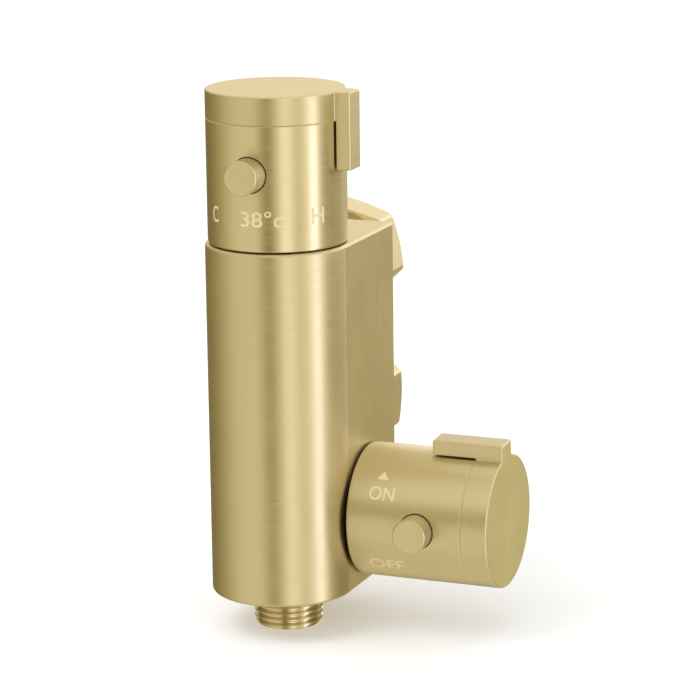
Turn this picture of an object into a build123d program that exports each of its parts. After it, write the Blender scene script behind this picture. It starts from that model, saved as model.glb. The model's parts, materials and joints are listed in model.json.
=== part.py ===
# Vertical mixing valve for a shower: a half-round column with a temperature knob on top and an
# on/off knob on its right side. Hot and cold water come in through two union nuts at the back,
# and mixed water leaves through a threaded nipple underneath.
# Millimetres. +Z is up, +Y points to the wall, +X towards the on/off knob.
# The origin is the centre of the outlet, in the plane of the column's underside.
from build123d import *
import math
import os

# Column
body_radius = 21.7        # round front, and half the width between the flat sides
body_depth = 38.0         # from the column's axis to its flat back
body_height = 107.3
body_top_round = 1.0
body_foot_round = 2.4
outlet_offset = 3.5       # the outlet lies this far behind the column's axis

# Outlet nipple, G 1/2 outside
outlet_thread_radius = 10.4775
outlet_length = 12.0      # below the column
outlet_lead_in = 1.3
outlet_bore_radius = 6.5
nipple_socket_radius = 10.0
nipple_socket_depth = 9.0
outlet_chamber_height = 2.4
outlet_port_radius = 3.2
outlet_port_x = 6.0
outlet_port_y = 8.0

# Inlets at the back
upper_inlet_drop = 14.0   # from the column's top to the upper inlet's axis
lower_inlet_z = 47.1
inlet_channel_radius = 5.5
tail_spigot_radius = 9.5
tail_spigot_depth = 11.3
tail_neck_radius = 11.0
tail_collar_radius = 11.7
tail_collar_length = 2.2
tail_bore_radius = 6.0
nut_standoff = 10.8       # from the column's back to the nut's front face
nut_across_flats = 30.0
nut_length = 13.5
nut_lip = 2.5
nut_thread_radius = 12.06  # crest radius of the G 3/4 inside thread
nut_relief_radius = 12.5   # round the tail's collar and the washer
nut_face_radius = 14.35
nut_chamfer_depth = 1.9
upper_nut_turn = 43.0     # degrees, one corner above +X
lower_nut_turn = 27.2
washer_thickness = 1.8
washer_hole_radius = 7.2

# Non-return valves in the inlet tails
check_radius = 7.5
check_length = 12.5
check_wall = 1.3
check_start = 3.0         # from the column's back
check_seat_thickness = 2.0
check_seat_radius = 4.2
check_guide_thickness = 1.6
poppet_radius = 5.2
poppet_thickness = 1.6
poppet_stem_radius = 1.2
check_hub_radius = 2.9
check_arm_width = 1.8
check_arm_count = 3
poppet_spring_radius = 3.2
poppet_spring_wire = 0.3
poppet_spring_turns = 5

# Mixing cartridge, from the top of the column downwards
cartridge_radius = 14.0
bonnet_radius = 17.0
bonnet_depth = 4.8
bonnet_skirt_length = 8.5
bonnet_cavity_radius = 8.0
bonnet_roof = 1.5         # roof of the cavity above the sleeve's top, downwards from the flange's foot
sleeve_bore_radius = 11.2
sleeve_recess_radius = 12.4
sleeve_base_z = 38.2
sleeve_end_land = 4.0
sleeve_mid_land = 5.2
sleeve_foot = 2.8
sleeve_foot_hole = 6.0
port_height = 3.0
port_width = 9.0
port_count = 4
sump_depth = 1.4
sump_radius = 12.0
mixed_port_radius = 3.5
mixed_port_x = -6.5
mixed_port_y = 8.0
screw_lead = 12.0         # the traveller's way for one turn of the spindle
temp_swing = 48.0         # degrees each way from the middle mark
spool_lap = 1.5           # the spool covers half of each port in the middle position
spool_wall = 1.9
spool_web = 2.5
spool_hole_radius = 1.5
spool_hole_circle = 7.0
spool_hole_count = 6
element_radius = 4.0
element_length = 24.0
element_head_radius = 5.2
element_head_thickness = 1.2
element_piston_radius = 1.6
traveller_wall = 2.1
traveller_top = 5.0
traveller_length = 13.0
traveller_gap = 0.58      # left above the traveller at the end of its way
thread_lead_in = 2.0      # from the traveller's ceiling to the spindle's end
traveller_key_width = 3.0
traveller_key_height = 2.5
traveller_key_reach = 1.1
screw_radius = 3.4
return_spring_radius = 7.2
return_spring_wire = 0.6
return_spring_turns = 8
overtravel_spring_radius = 4.4
overtravel_spring_wire = 0.55
overtravel_spring_turns = 4
seal_section = 0.9        # radius of the sleeve's seal rings
small_seal_section = 0.5

# Spindles and what the knobs turn on, shared by both sides. Heights count from a knob's lower plane
knob_gap = 0.5
hex_across_flats = 27.0
hex_top = 5.2
neck_radius = 8.0
neck_top = 14.2
spindle_radius = 5.0
spindle_relief_radius = 4.15
circlip_start = 14.5
circlip_thickness = 1.0
circlip_radius = 7.0
spline_start = 18.2
spline_end = 28.4
spline_teeth = 18
spline_tip_share = (0.15, 0.4)    # a tooth's tip, as shares of the pitch
spline_root_share = (0.6, 0.95)   # the root beside it
spline_tip_radius = 4.7
spline_root_radius = 4.25
screw_shank_radius = 2.0
screw_depth = 8.0
screw_head_radius = 3.5
screw_head_height = 2.4
screw_slot_width = 0.8
screw_slot_depth = 0.7
collar_radius = 7.0
collar_thickness = 1.75
stop_ring_height = 5.0
stop_ring_radius = 12.8
stop_lug_gap = 0.4        # between a lug's end and the insert's skirt
stop_lug_width = 3.0
stop_margin = 14.0        # degrees between the rib and a lug's middle when the rib has stopped
catch_gap = 0.4

# Knobs
temp_knob_radius = 20.8
temp_barrel_length = 37.0
temp_cap_height = 8.55
temp_rim_start = 0.0      # the barrel's rim, from the knob's lower plane
temp_tab_hang = 14.5
flow_knob_radius = 20.25
flow_barrel_length = 36.4
flow_cap_height = 8.3
flow_rim_start = 0.4
flow_tab_hang = 13.8
flow_tab_turn = 183.5     # degrees, so that the tab leans a little towards the front
flow_axis_y = 15.4        # from the column's axis
flow_axis_z = 23.05
flow_swing = 90.0
knob_wall = 2.0
rim_bevel_height = 0.75
rim_bevel_depth = 0.25
seam_chamfer = 0.2
cap_top_wall = 2.0
cap_spigot_wall = 1.5
cap_edge_round = 0.5
tab_reach = 4.4
tab_width = 8.2
tab_gap = 0.5             # between the barrel and the tab's hollow face
tab_round = 0.7
insert_wall = 1.7
insert_start = 5.6
insert_rib_width = 3.0
insert_rib_reach = 13.4
insert_rib_top = 9.8
hub_radius = 7.5
hub_start = 16.7
web_start = 28.7
web_end = 31.2
button_height = 22.6      # from the knob's lower plane to the button's axis
button_radius = 5.2
button_proud = 6.2
button_edge_round = 0.6
button_travel = 3.0
button_shoulder = 14.2    # from the knob's axis
button_stem_radius = 2.0
button_stem_end = 11.0
guide_wall = 1.1
guide_floor = 9.2
guide_pocket = 7.6
latch_radius = 15.2       # from the knob's axis to the middle of the latch finger
latch_width = 3.0
latch_thickness = 1.6
button_spring_radius = 3.3
button_spring_wire = 0.35
button_spring_turns = 2.5

# Shut-off headwork in the column's side. Depths count inwards from the flat side
headwork_radius = 11.0
headwork_depth = 23.7
headwork_waist_radius = 10.0
headwork_waist_top = 12.7
headwork_flats = 24.0
cavity_radius = 8.3
driver_end_gap = 0.8      # between the driver and the cavity's end
prechamber_radius = 7.5
prechamber_depth = 10.0
disc_radius = 8.2
disc_thickness = 3.0
disc_gap = 0.05
disc_seal_thickness = 1.8
driver_radius = 7.6
driver_thickness = 2.6
driver_dog_width = 3.0
driver_dog_height = 1.2
window_radius = 2.2
window_count = 4
window_drop = 0.5         # from the driver down to the windows' middle
headwork_seal_depth = 2.3
disc_port_outer = 6.4
disc_port_inner = 2.5
disc_port_angle = 84.0    # degrees, a little less than a quarter turn
disc_seal_inner = 6.7

# Fits
close_fit = 0.1           # fixed pieces that slide into each other on assembly
running_fit = 0.07        # pieces that turn or slide in each other
free_gap = 0.3            # moving pieces that pass each other
seal_ease = 0.02          # pieces that just touch

# Placements. Each function below builds its piece about the local +Z axis
upper_inlet_z = body_height - upper_inlet_drop
world = Pos(0, -outlet_offset, 0)
temp_frame = Pos(0, 0, body_height + knob_gap)
flow_frame = Pos(body_radius + knob_gap, flow_axis_y, flow_axis_z) * Rot(0, 90, 0)
base_align = (Align.CENTER, Align.CENTER, Align.MIN)    # stands on its origin
hang_align = (Align.CENTER, Align.CENTER, Align.MAX)    # hangs from its origin
reach_align = (Align.MIN, Align.CENTER, Align.MIN)      # stands on it and reaches out along +X


def inlet_frame(height):
    """Local +Z runs from the column's back towards the wall."""
    return Pos(0, body_depth, height) * Rot(-90, 0, 0)


def rod(radius, low, high):
    return Pos(0, 0, low) * Cylinder(radius, high - low, align=base_align)


def tube(outer, inner, low, high):
    return rod(outer, low, high) - rod(inner, low, high)


def cone(low_radius, high_radius, low, high):
    return Pos(0, 0, low) * Cone(low_radius, high_radius, high - low, align=base_align)


def hexagon(across_flats, low, high):
    outline = RegularPolygon(across_flats / 2, 6, major_radius=False)
    return Pos(0, 0, low) * extrude(outline, high - low)


def splined_rod(tip, root, low, high):
    points = []
    for tooth in range(spline_teeth):
        for radius, shares in ((tip, spline_tip_share), (root, spline_root_share)):
            for share in shares:
                angle = 2 * math.pi * (tooth + share) / spline_teeth
                points.append((radius * math.cos(angle), radius * math.sin(angle)))
    return Pos(0, 0, low) * extrude(make_face(Polyline(*points, close=True)), high - low)


def ring(bore, section, height):
    """Seal ring that lies in a groove and just touches a bore."""
    return Pos(0, 0, height) * Torus(bore - section - seal_ease, section)


def ring_groove(bore, section, height):
    floor = bore - 2 * section - 2 * seal_ease
    return tube(bore + 1, floor, height - section - close_fit, height + section + close_fit)


def coil(radius, wire, low, high, turns):
    """Round-wire spring whose wire stays inside the two end planes."""
    rise = high - low - 2 * wire
    path = Helix(rise / turns, rise, radius)
    profile = Plane(origin=path @ 0, z_dir=path % 0) * Circle(wire)
    return Pos(0, 0, low + wire) * sweep(profile, path=path, is_frenet=True)


def around(piece, count):
    return [Rot(0, 0, 360 * number / count) * piece for number in range(count)]


def outer_rim(piece, height):
    """Outermost round edge of a turned piece at a height."""
    edges = piece.edges().filter_by(GeomType.CIRCLE)
    level = [edge for edge in edges if abs(edge.center().Z - height) < 0.01]
    return max(level, key=lambda edge: edge.radius)


# Column

def body_blank():
    flat = Rectangle(2 * body_radius, body_depth, align=(Align.CENTER, Align.MIN))
    outline = Circle(body_radius) + flat
    blank = extrude(outline, body_height)
    front = [edge for edge in blank.edges().group_by(Axis.Z)[-1] if edge.center().Y < body_depth - 1]
    blank = fillet(front, body_top_round)
    return fillet(blank.edges().group_by(Axis.Z)[0], body_foot_round)


def valve_body():
    body = body_blank()
    cartridge_floor = sleeve_base_z - seal_ease
    body -= rod(cartridge_radius, cartridge_floor, body_height)
    body -= rod(bonnet_radius, body_height - bonnet_depth, body_height)
    body -= rod(sump_radius, cartridge_floor - sump_depth, cartridge_floor)
    mixed_port = rod(mixed_port_radius, flow_axis_z, cartridge_floor)
    body -= Pos(mixed_port_x, mixed_port_y) * mixed_port
    side = flow_frame * Pos(0, 0, -knob_gap)
    body -= side * rod(headwork_radius, -headwork_depth, 0)
    body -= side * rod(prechamber_radius, -headwork_depth - prechamber_depth, -headwork_depth)
    nipple = rod(nipple_socket_radius, 0, nipple_socket_depth)
    nipple += rod(outlet_bore_radius, 0, nipple_socket_depth + outlet_chamber_height)
    body -= Pos(0, outlet_offset) * nipple
    body -= Pos(outlet_port_x, outlet_port_y) * rod(outlet_port_radius, nipple_socket_depth, flow_axis_z)
    for height in (upper_inlet_z, lower_inlet_z):
        inlet = rod(tail_spigot_radius, -tail_spigot_depth, 0)
        inlet += rod(inlet_channel_radius, -body_depth + cartridge_radius / 2, 0)
        body -= inlet_frame(height) * inlet
    return body


def outlet_nipple():
    top = nipple_socket_depth - 2 * close_fit
    nipple = rod(nipple_socket_radius - close_fit, 0, top)
    nipple += rod(outlet_thread_radius, -outlet_length + outlet_lead_in, 0)
    nipple += cone(outlet_thread_radius - outlet_lead_in, outlet_thread_radius,
                   -outlet_length, -outlet_length + outlet_lead_in)
    nipple -= rod(outlet_bore_radius, -outlet_length, top)
    nipple -= ring_groove(nipple_socket_radius, seal_section, nipple_socket_depth / 2)
    return Pos(0, outlet_offset) * nipple


def outlet_seal():
    return Pos(0, outlet_offset) * ring(nipple_socket_radius, seal_section, nipple_socket_depth / 2)


# Inlets, each built from the column's back outwards

nut_end = nut_standoff + nut_length
collar_start = nut_standoff + nut_lip + free_gap
collar_end = collar_start + tail_collar_length
relief_end = collar_end + washer_thickness + 2 * close_fit
check_end = check_start + check_length
poppet_front = check_end - check_seat_thickness - seal_ease
guide_end = check_start + check_guide_thickness


def inlet_tail():
    tail = rod(tail_spigot_radius - close_fit, -tail_spigot_depth + 2 * close_fit, 0)
    tail += rod(tail_neck_radius, 0, collar_start)
    tail += rod(tail_collar_radius, collar_start, collar_end)
    tail -= rod(tail_bore_radius, -tail_spigot_depth, collar_end)
    tail -= rod(check_radius, check_start, collar_end)
    return tail - ring_groove(tail_spigot_radius, small_seal_section, -tail_spigot_depth / 3)


def tail_seal():
    return ring(tail_spigot_radius, small_seal_section, -tail_spigot_depth / 3)


def union_nut(turn):
    corner = nut_across_flats / math.sqrt(3) + close_fit
    barrel = cone(nut_face_radius, corner, nut_standoff, nut_standoff + nut_chamfer_depth)
    barrel += rod(corner, nut_standoff + nut_chamfer_depth, nut_end - nut_chamfer_depth)
    barrel += cone(corner, nut_face_radius, nut_end - nut_chamfer_depth, nut_end)
    nut = Rot(0, 0, 30 - turn) * hexagon(nut_across_flats, nut_standoff, nut_end)
    nut &= barrel
    nut -= rod(tail_neck_radius + free_gap, nut_standoff, nut_standoff + nut_lip)
    nut -= rod(nut_relief_radius, nut_standoff + nut_lip, relief_end)
    return nut - rod(nut_thread_radius, relief_end, nut_end)


def union_washer():
    return tube(tail_collar_radius, washer_hole_radius, collar_end, collar_end + washer_thickness)


def check_housing():
    outer = check_radius - close_fit / 2
    housing = tube(outer, outer - check_wall, check_start, check_end)
    housing += tube(outer - check_wall / 2, check_seat_radius, check_end - check_seat_thickness, check_end)
    arm = Box(outer - check_wall / 2, check_arm_width, check_guide_thickness, align=reach_align)
    guide = rod(check_hub_radius, check_start, guide_end)
    guide += around(Pos(0, 0, check_start) * arm, check_arm_count)
    return housing + guide - rod(poppet_stem_radius + running_fit, check_start, guide_end)


def poppet():
    head = rod(poppet_radius, poppet_front - poppet_thickness, poppet_front)
    return head + rod(poppet_stem_radius, check_start + close_fit, poppet_front)


def poppet_spring():
    head = poppet_front - poppet_thickness
    return coil(poppet_spring_radius, poppet_spring_wire, guide_end, head, poppet_spring_turns)


# Shared tops of the bonnet and the headwork, and the spindles' upper ends

def spindle_bearing(across_flats, low):
    """Hexagon and round neck above the column, with the spindle's bore."""
    top = hexagon(across_flats, -knob_gap, hex_top) + rod(neck_radius, hex_top, neck_top)
    return top - rod(spindle_radius + running_fit, low, neck_top)


def spindle_head(low):
    head = rod(spindle_radius, low, circlip_start + circlip_thickness)
    head -= tube(spindle_radius, spindle_relief_radius, circlip_start, circlip_start + circlip_thickness)
    head += rod(spindle_relief_radius, circlip_start + circlip_thickness, spline_start)
    head += splined_rod(spline_tip_radius, spline_root_radius, spline_start, spline_end)
    hole = rod(screw_shank_radius + close_fit / 2, spline_end - screw_depth - close_fit, spline_end)
    seal = ring_groove(spindle_radius, small_seal_section, hex_top)
    return head - hole - seal


def spindle_seal():
    return ring(spindle_radius, small_seal_section, hex_top)


def spindle_circlip():
    bore = spindle_relief_radius + seal_ease
    clip = tube(circlip_radius, bore, circlip_start, circlip_start + circlip_thickness)
    mouth = Box(circlip_radius, spindle_relief_radius, circlip_thickness, align=reach_align)
    return clip - Pos(0, 0, circlip_start) * mouth


def insert_inner(knob_radius):
    return knob_radius - knob_wall - close_fit - insert_wall


def stop_ring(knob_radius, lug_angles):
    """Ring on the neck with lugs that the insert's rib or the latch meets."""
    body = rod(stop_ring_radius, hex_top, hex_top + stop_ring_height)
    reach = insert_inner(knob_radius) - stop_lug_gap
    lug = Box(reach, stop_lug_width, stop_ring_height, align=reach_align)
    for angle in lug_angles:
        body += Rot(0, 0, angle) * Pos(0, 0, hex_top) * lug
    return body - rod(neck_radius + seal_ease, hex_top, hex_top + stop_ring_height)


def fixing_screw():
    head = rod(screw_head_radius, web_end, web_end + screw_head_height)
    shank = rod(screw_shank_radius, spline_end - screw_depth, web_end)
    slot = Box(2 * screw_head_radius, screw_slot_width, screw_slot_depth, align=hang_align)
    return head + shank - Pos(0, 0, web_end + screw_head_height) * slot


# Knobs. The button faces local -Y, and the tab stands towards local +X or -X

def across_button(piece):
    """Turn a piece built along +Z so that it runs outwards along the button's axis."""
    return Pos(0, 0, button_height) * Rot(90, 0, 0) * piece


def knob_barrel(radius, start, length):
    bevel_top = start + rim_bevel_height
    barrel = rod(radius, bevel_top, length)
    barrel = chamfer(outer_rim(barrel, length), seam_chamfer)
    barrel += cone(radius - rim_bevel_depth, radius, start, bevel_top)
    barrel -= rod(radius - knob_wall, start, length)
    return barrel - across_button(rod(button_radius + free_gap, radius / 2, radius + 1))


def knob_insert(radius):
    outer = radius - knob_wall - close_fit
    insert = tube(outer, insert_inner(radius), insert_start, web_end) + rod(outer, web_start, web_end)
    insert += rod(hub_radius, hub_start, web_start)
    rib_length = outer - insert_wall / 2 - insert_rib_reach
    rib = Box(insert_rib_width, rib_length, insert_rib_top - insert_start,
              align=(Align.CENTER, Align.MIN, Align.MIN))
    insert += Pos(0, insert_rib_reach, insert_start) * rib
    guide_radius = button_radius + free_gap
    guide = across_button(rod(guide_radius + guide_wall, guide_pocket - 1, outer))
    insert += guide & rod(outer, insert_start, web_end)
    insert -= rod(screw_shank_radius + close_fit, web_start, web_end)
    ease = close_fit / 2
    insert -= splined_rod(spline_tip_radius + ease, spline_root_radius + ease, hub_start, web_start)
    insert -= across_button(rod(guide_radius, guide_floor, radius))
    insert -= across_button(rod(button_stem_radius + free_gap, guide_pocket, guide_floor))
    slot_inner = latch_radius - latch_thickness / 2 - button_travel - free_gap
    slot_outer = latch_radius + latch_thickness / 2 + free_gap
    slot_height = guide_radius + guide_wall + close_fit
    slot = Box(latch_width + 2 * free_gap, slot_outer - slot_inner, slot_height,
               align=(Align.CENTER, Align.MAX, Align.MAX))
    return insert - Pos(0, -slot_inner, button_height) * slot


def knob_cap(radius, length, height, tab_hang, side):
    top = length + height
    tab_outer = radius + tab_reach
    cap = rod(radius, length, top)
    tab = Box(tab_outer, tab_width, height + tab_hang, align=reach_align)
    cap += Rot(0, 0, side) * Pos(0, 0, length - tab_hang) * tab
    cap -= rod(radius + tab_gap, length - tab_hang, length)
    reach = [edge for edge in cap.edges().filter_by(Axis.Z)
             if math.hypot(edge.center().X, edge.center().Y) > tab_outer - 0.01]
    cap = fillet(reach, tab_round)
    cap = fillet(cap.edges().group_by(Axis.Z)[-1], cap_edge_round)
    spigot = radius - knob_wall - close_fit
    cap += tube(spigot, spigot - cap_spigot_wall, web_end, length + height - cap_top_wall)
    return cap - rod(spigot - cap_spigot_wall, length, top - cap_top_wall)


def knob_button(radius):
    face = radius + button_proud
    button = rod(button_radius, button_shoulder, face)
    button = fillet(outer_rim(button, face), button_edge_round)
    button += rod(button_stem_radius, button_stem_end, button_shoulder)
    button = across_button(button)
    latch_foot = hex_top + stop_ring_height + catch_gap
    latch = Box(latch_width, latch_thickness, button_height - latch_foot, align=base_align)
    return button + Pos(0, -latch_radius, latch_foot) * latch


def button_spring():
    spring = coil(button_spring_radius, button_spring_wire, guide_floor, button_shoulder,
                  button_spring_turns)
    return across_button(spring)


# Mixing cartridge, in the column's own heights

sleeve_top_z = body_height - bonnet_depth
spool_mid_z = (upper_inlet_z + lower_inlet_z) / 2
sleeve_foot_z = sleeve_base_z + sleeve_foot
cavity_roof_z = sleeve_top_z - bonnet_roof
bonnet_foot_z = sleeve_top_z - bonnet_skirt_length
traveller_travel = screw_lead * temp_swing / 360
traveller_top_z = cavity_roof_z - running_fit - collar_thickness - traveller_travel - traveller_gap
traveller_foot_z = traveller_top_z - traveller_length
traveller_ceiling_z = traveller_top_z - traveller_top
head_top_z = traveller_foot_z + 2 * element_head_thickness
spool_half = sleeve_mid_land / 2 + spool_lap
element_top_z = spool_mid_z + spool_half + element_head_thickness
seal_heights = (sleeve_base_z + sleeve_end_land / 2, spool_mid_z, sleeve_top_z - sleeve_end_land / 2)


def mixing_sleeve():
    sleeve = tube(cartridge_radius - close_fit, sleeve_bore_radius, sleeve_base_z, sleeve_top_z)
    sleeve += tube(sleeve_recess_radius, sleeve_foot_hole, sleeve_base_z, sleeve_foot_z)
    half_land = sleeve_mid_land / 2
    for low, high in ((spool_mid_z + half_land, sleeve_top_z - sleeve_end_land),
                      (sleeve_base_z + sleeve_end_land, spool_mid_z - half_land)):
        sleeve -= tube(cartridge_radius, sleeve_recess_radius, low, high)
    port = Box(cartridge_radius, port_width, port_height, align=(Align.MIN, Align.CENTER, Align.CENTER))
    for side in (-1, 1):
        height = spool_mid_z + side * (half_land + port_height / 2)
        sleeve -= around(Rot(0, 0, 45) * Pos(0, 0, height) * port, port_count)
    for height in seal_heights:
        sleeve -= ring_groove(cartridge_radius, seal_section, height)
    return sleeve


def sleeve_seals():
    return Compound([ring(cartridge_radius, seal_section, height) for height in seal_heights])


def key_slot(width, reach, low, high):
    slot = Box(2 * reach, width, high - low, align=base_align)
    return Pos(0, 0, low) * slot


def mixing_bonnet():
    bonnet = rod(bonnet_radius - close_fit, sleeve_top_z, body_height)
    bonnet += rod(sleeve_bore_radius - close_fit, bonnet_foot_z, sleeve_top_z)
    bonnet -= rod(bonnet_cavity_radius, bonnet_foot_z, cavity_roof_z)
    slot_reach = bonnet_cavity_radius + traveller_key_reach + free_gap
    slot_width = traveller_key_width + 2 * close_fit
    bonnet -= key_slot(slot_width, slot_reach, bonnet_foot_z, cavity_roof_z)
    spindle_bore = rod(spindle_radius + running_fit, cavity_roof_z, body_height)
    bonnet += temp_frame * spindle_bearing(hex_across_flats, -knob_gap)
    return bonnet - spindle_bore


def temp_spindle():
    collar_top = cavity_roof_z - running_fit
    spindle = temp_frame * spindle_head(-knob_gap - bonnet_depth)
    spindle += rod(spindle_radius, collar_top, sleeve_top_z)
    spindle += rod(collar_radius, collar_top - collar_thickness, collar_top)
    return spindle + rod(screw_radius, traveller_ceiling_z + thread_lead_in, collar_top)


def traveller():
    outer = bonnet_cavity_radius - running_fit
    piece = rod(outer, traveller_foot_z, traveller_top_z)
    key_reach = bonnet_cavity_radius + traveller_key_reach
    key_low = traveller_top_z - traveller_key_height
    piece += key_slot(traveller_key_width, key_reach, key_low, traveller_top_z)
    piece -= rod(outer - traveller_wall, traveller_foot_z, traveller_ceiling_z)
    return piece - rod(screw_radius + running_fit, traveller_ceiling_z, traveller_top_z)


def overtravel_spring():
    return coil(overtravel_spring_radius, overtravel_spring_wire, head_top_z, traveller_ceiling_z,
                overtravel_spring_turns)


def wax_element():
    element = rod(element_radius, element_top_z - element_length, element_top_z)
    element += rod(element_piston_radius, element_top_z, head_top_z)
    head = rod(element_head_radius, head_top_z - element_head_thickness, head_top_z)
    shoulder = rod(element_head_radius, element_top_z - element_head_thickness, element_top_z)
    return element + head + shoulder


def mixing_spool():
    low = spool_mid_z - spool_half
    high = spool_mid_z + spool_half
    outer = sleeve_bore_radius - running_fit
    spool = tube(outer, outer - spool_wall, low, high)
    spool += rod(outer - spool_wall / 2, high - spool_web, high)
    hole = Pos(spool_hole_circle, 0, high - spool_web) * rod(spool_hole_radius, 0, spool_web)
    spool -= around(hole, spool_hole_count)
    return spool - rod(element_radius + close_fit / 2, low, high)


def return_spring():
    spring_seat = spool_mid_z + spool_half - spool_web
    return coil(return_spring_radius, return_spring_wire, sleeve_foot_z, spring_seat,
                return_spring_turns)


# Shut-off headwork. Local heights: the column's flat side lies at -knob_gap

face = -knob_gap
seat = face - headwork_depth
fixed_low = seat + disc_seal_thickness
moving_low = fixed_low + disc_thickness + disc_gap
driver_low = moving_low + disc_thickness + disc_gap
cavity_end = driver_low + driver_thickness + driver_end_gap


def flow_headwork():
    work = rod(headwork_radius - close_fit, face - headwork_waist_top, face)
    work += rod(headwork_waist_radius, seat + close_fit, face - headwork_waist_top)
    work -= rod(cavity_radius, seat, cavity_end)
    window = Rot(0, 90, 0) * rod(window_radius, 0, headwork_radius)
    work -= around(Pos(0, 0, driver_low - window_drop) * Rot(0, 0, 45) * window, window_count)
    work -= ring_groove(headwork_radius, seal_section, face - headwork_seal_depth)
    work += spindle_bearing(headwork_flats, face)
    return work - rod(spindle_radius + running_fit, cavity_end, face)


def headwork_seal():
    return ring(headwork_radius, seal_section, face - headwork_seal_depth)


def disc_ports(low, high):
    """Two opposite quarter openings, a little less than a quarter each."""
    spread = disc_radius * math.tan(math.radians(disc_port_angle / 2))
    wedge = make_face(Polyline((0, 0), (disc_radius, -spread), (disc_radius, spread), close=True))
    outline = (Circle(disc_port_outer) - Circle(disc_port_inner)) & wedge
    opening = Pos(0, 0, low) * extrude(outline, high - low)
    return [opening, Rot(0, 0, 180) * opening]


def fixed_disc():
    high = fixed_low + disc_thickness
    return rod(disc_radius, fixed_low, high) - disc_ports(fixed_low, high)


def moving_disc():
    high = moving_low + disc_thickness
    disc = rod(disc_radius - free_gap, moving_low, high)
    disc -= [Rot(0, 0, 90) * opening for opening in disc_ports(moving_low, high)]
    slot = Box(2 * disc_radius, driver_dog_width + close_fit, driver_dog_height + close_fit,
               align=hang_align)
    return disc - Pos(0, 0, high) * slot


def disc_seal():
    return tube(disc_radius, disc_seal_inner, seat, fixed_low)


def flow_spindle():
    spindle = spindle_head(cavity_end)
    spindle += rod(driver_radius, driver_low, driver_low + driver_thickness)
    spindle += rod(spindle_radius, driver_low, cavity_end)
    dog = Box(2 * driver_radius, driver_dog_width, driver_dog_height, align=hang_align)
    dog = Pos(0, 0, driver_low) * dog & rod(driver_radius, driver_low - driver_dog_height, driver_low)
    return spindle + dog


# Pieces by name

def knob_pieces(side, frame, sizes, tab_side, lugs):
    radius, start, length, height, tab_hang = sizes
    return {
        side + "_barrel": frame * knob_barrel(radius, start, length),
        side + "_insert": frame * knob_insert(radius),
        side + "_cap": frame * knob_cap(radius, length, height, tab_hang, tab_side),
        side + "_screw": frame * fixing_screw(),
        side + "_button": frame * knob_button(radius),
        side + "_button_spring": frame * button_spring(),
        side + "_circlip": frame * spindle_circlip(),
        side + "_spindle_seal": frame * spindle_seal(),
        side + "_stop_ring": frame * stop_ring(radius, lugs),
    }


def inlet_pieces(side, height, turn):
    frame = inlet_frame(height)
    return {
        side + "_tail": frame * inlet_tail(),
        side + "_tail_seal": frame * tail_seal(),
        side + "_nut": frame * union_nut(turn),
        side + "_washer": frame * union_washer(),
        side + "_check_housing": frame * check_housing(),
        side + "_poppet": frame * poppet(),
        side + "_poppet_spring": frame * poppet_spring(),
    }


def all_pieces():
    pieces = {
        "valve_body": valve_body(),
        "outlet_nipple": outlet_nipple(),
        "outlet_seal": outlet_seal(),
        "mixing_sleeve": mixing_sleeve(),
        "sleeve_seals": sleeve_seals(),
        "mixing_bonnet": mixing_bonnet(),
        "temp_spindle": temp_spindle(),
        "traveller": traveller(),
        "overtravel_spring": overtravel_spring(),
        "wax_element": wax_element(),
        "mixing_spool": mixing_spool(),
        "return_spring": return_spring(),
        "flow_headwork": flow_frame * flow_headwork(),
        "headwork_seal": flow_frame * headwork_seal(),
        "fixed_disc": flow_frame * fixed_disc(),
        "moving_disc": flow_frame * moving_disc(),
        "disc_seal": flow_frame * disc_seal(),
        "flow_spindle": flow_frame * flow_spindle(),
    }
    rib = 90
    latch = -90
    temp_lugs = (rib - temp_swing - stop_margin, rib + temp_swing + stop_margin, latch - stop_margin)
    flow_lugs = (rib + stop_margin, rib - flow_swing - stop_margin)
    temp_sizes = (temp_knob_radius, temp_rim_start, temp_barrel_length, temp_cap_height, temp_tab_hang)
    flow_sizes = (flow_knob_radius, flow_rim_start, flow_barrel_length, flow_cap_height, flow_tab_hang)
    pieces.update(knob_pieces("temp", temp_frame, temp_sizes, 0, temp_lugs))
    pieces.update(knob_pieces("flow", flow_frame, flow_sizes, flow_tab_turn, flow_lugs))
    pieces.update(inlet_pieces("upper", upper_inlet_z, upper_nut_turn))
    pieces.update(inlet_pieces("lower", lower_inlet_z, lower_nut_turn))
    return pieces


os.makedirs("parts", exist_ok=True)
for name, piece in all_pieces().items():
    export_step(world * piece, os.path.join("parts", name + ".step"))
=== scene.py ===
"""Looks of a column-shaped shower mixing valve in brushed brass.

The column carries a temperature knob on its top and an on/off knob on its right side. Two union
nuts stand at its back, and a threaded nipple comes out underneath. Everything stands in the frame
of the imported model: +Z is up, -Y is the front and the origin is the middle of the outlet. The sizes
of shapes are written in millimetres, and places and meshes are in metres.
"""

import json
import logging
import math
from dataclasses import dataclass
from enum import Enum
from typing import Callable, Dict, Iterable, List, Optional, Sequence, Tuple

import bmesh
import bpy
from mathutils import Matrix, Vector

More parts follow.
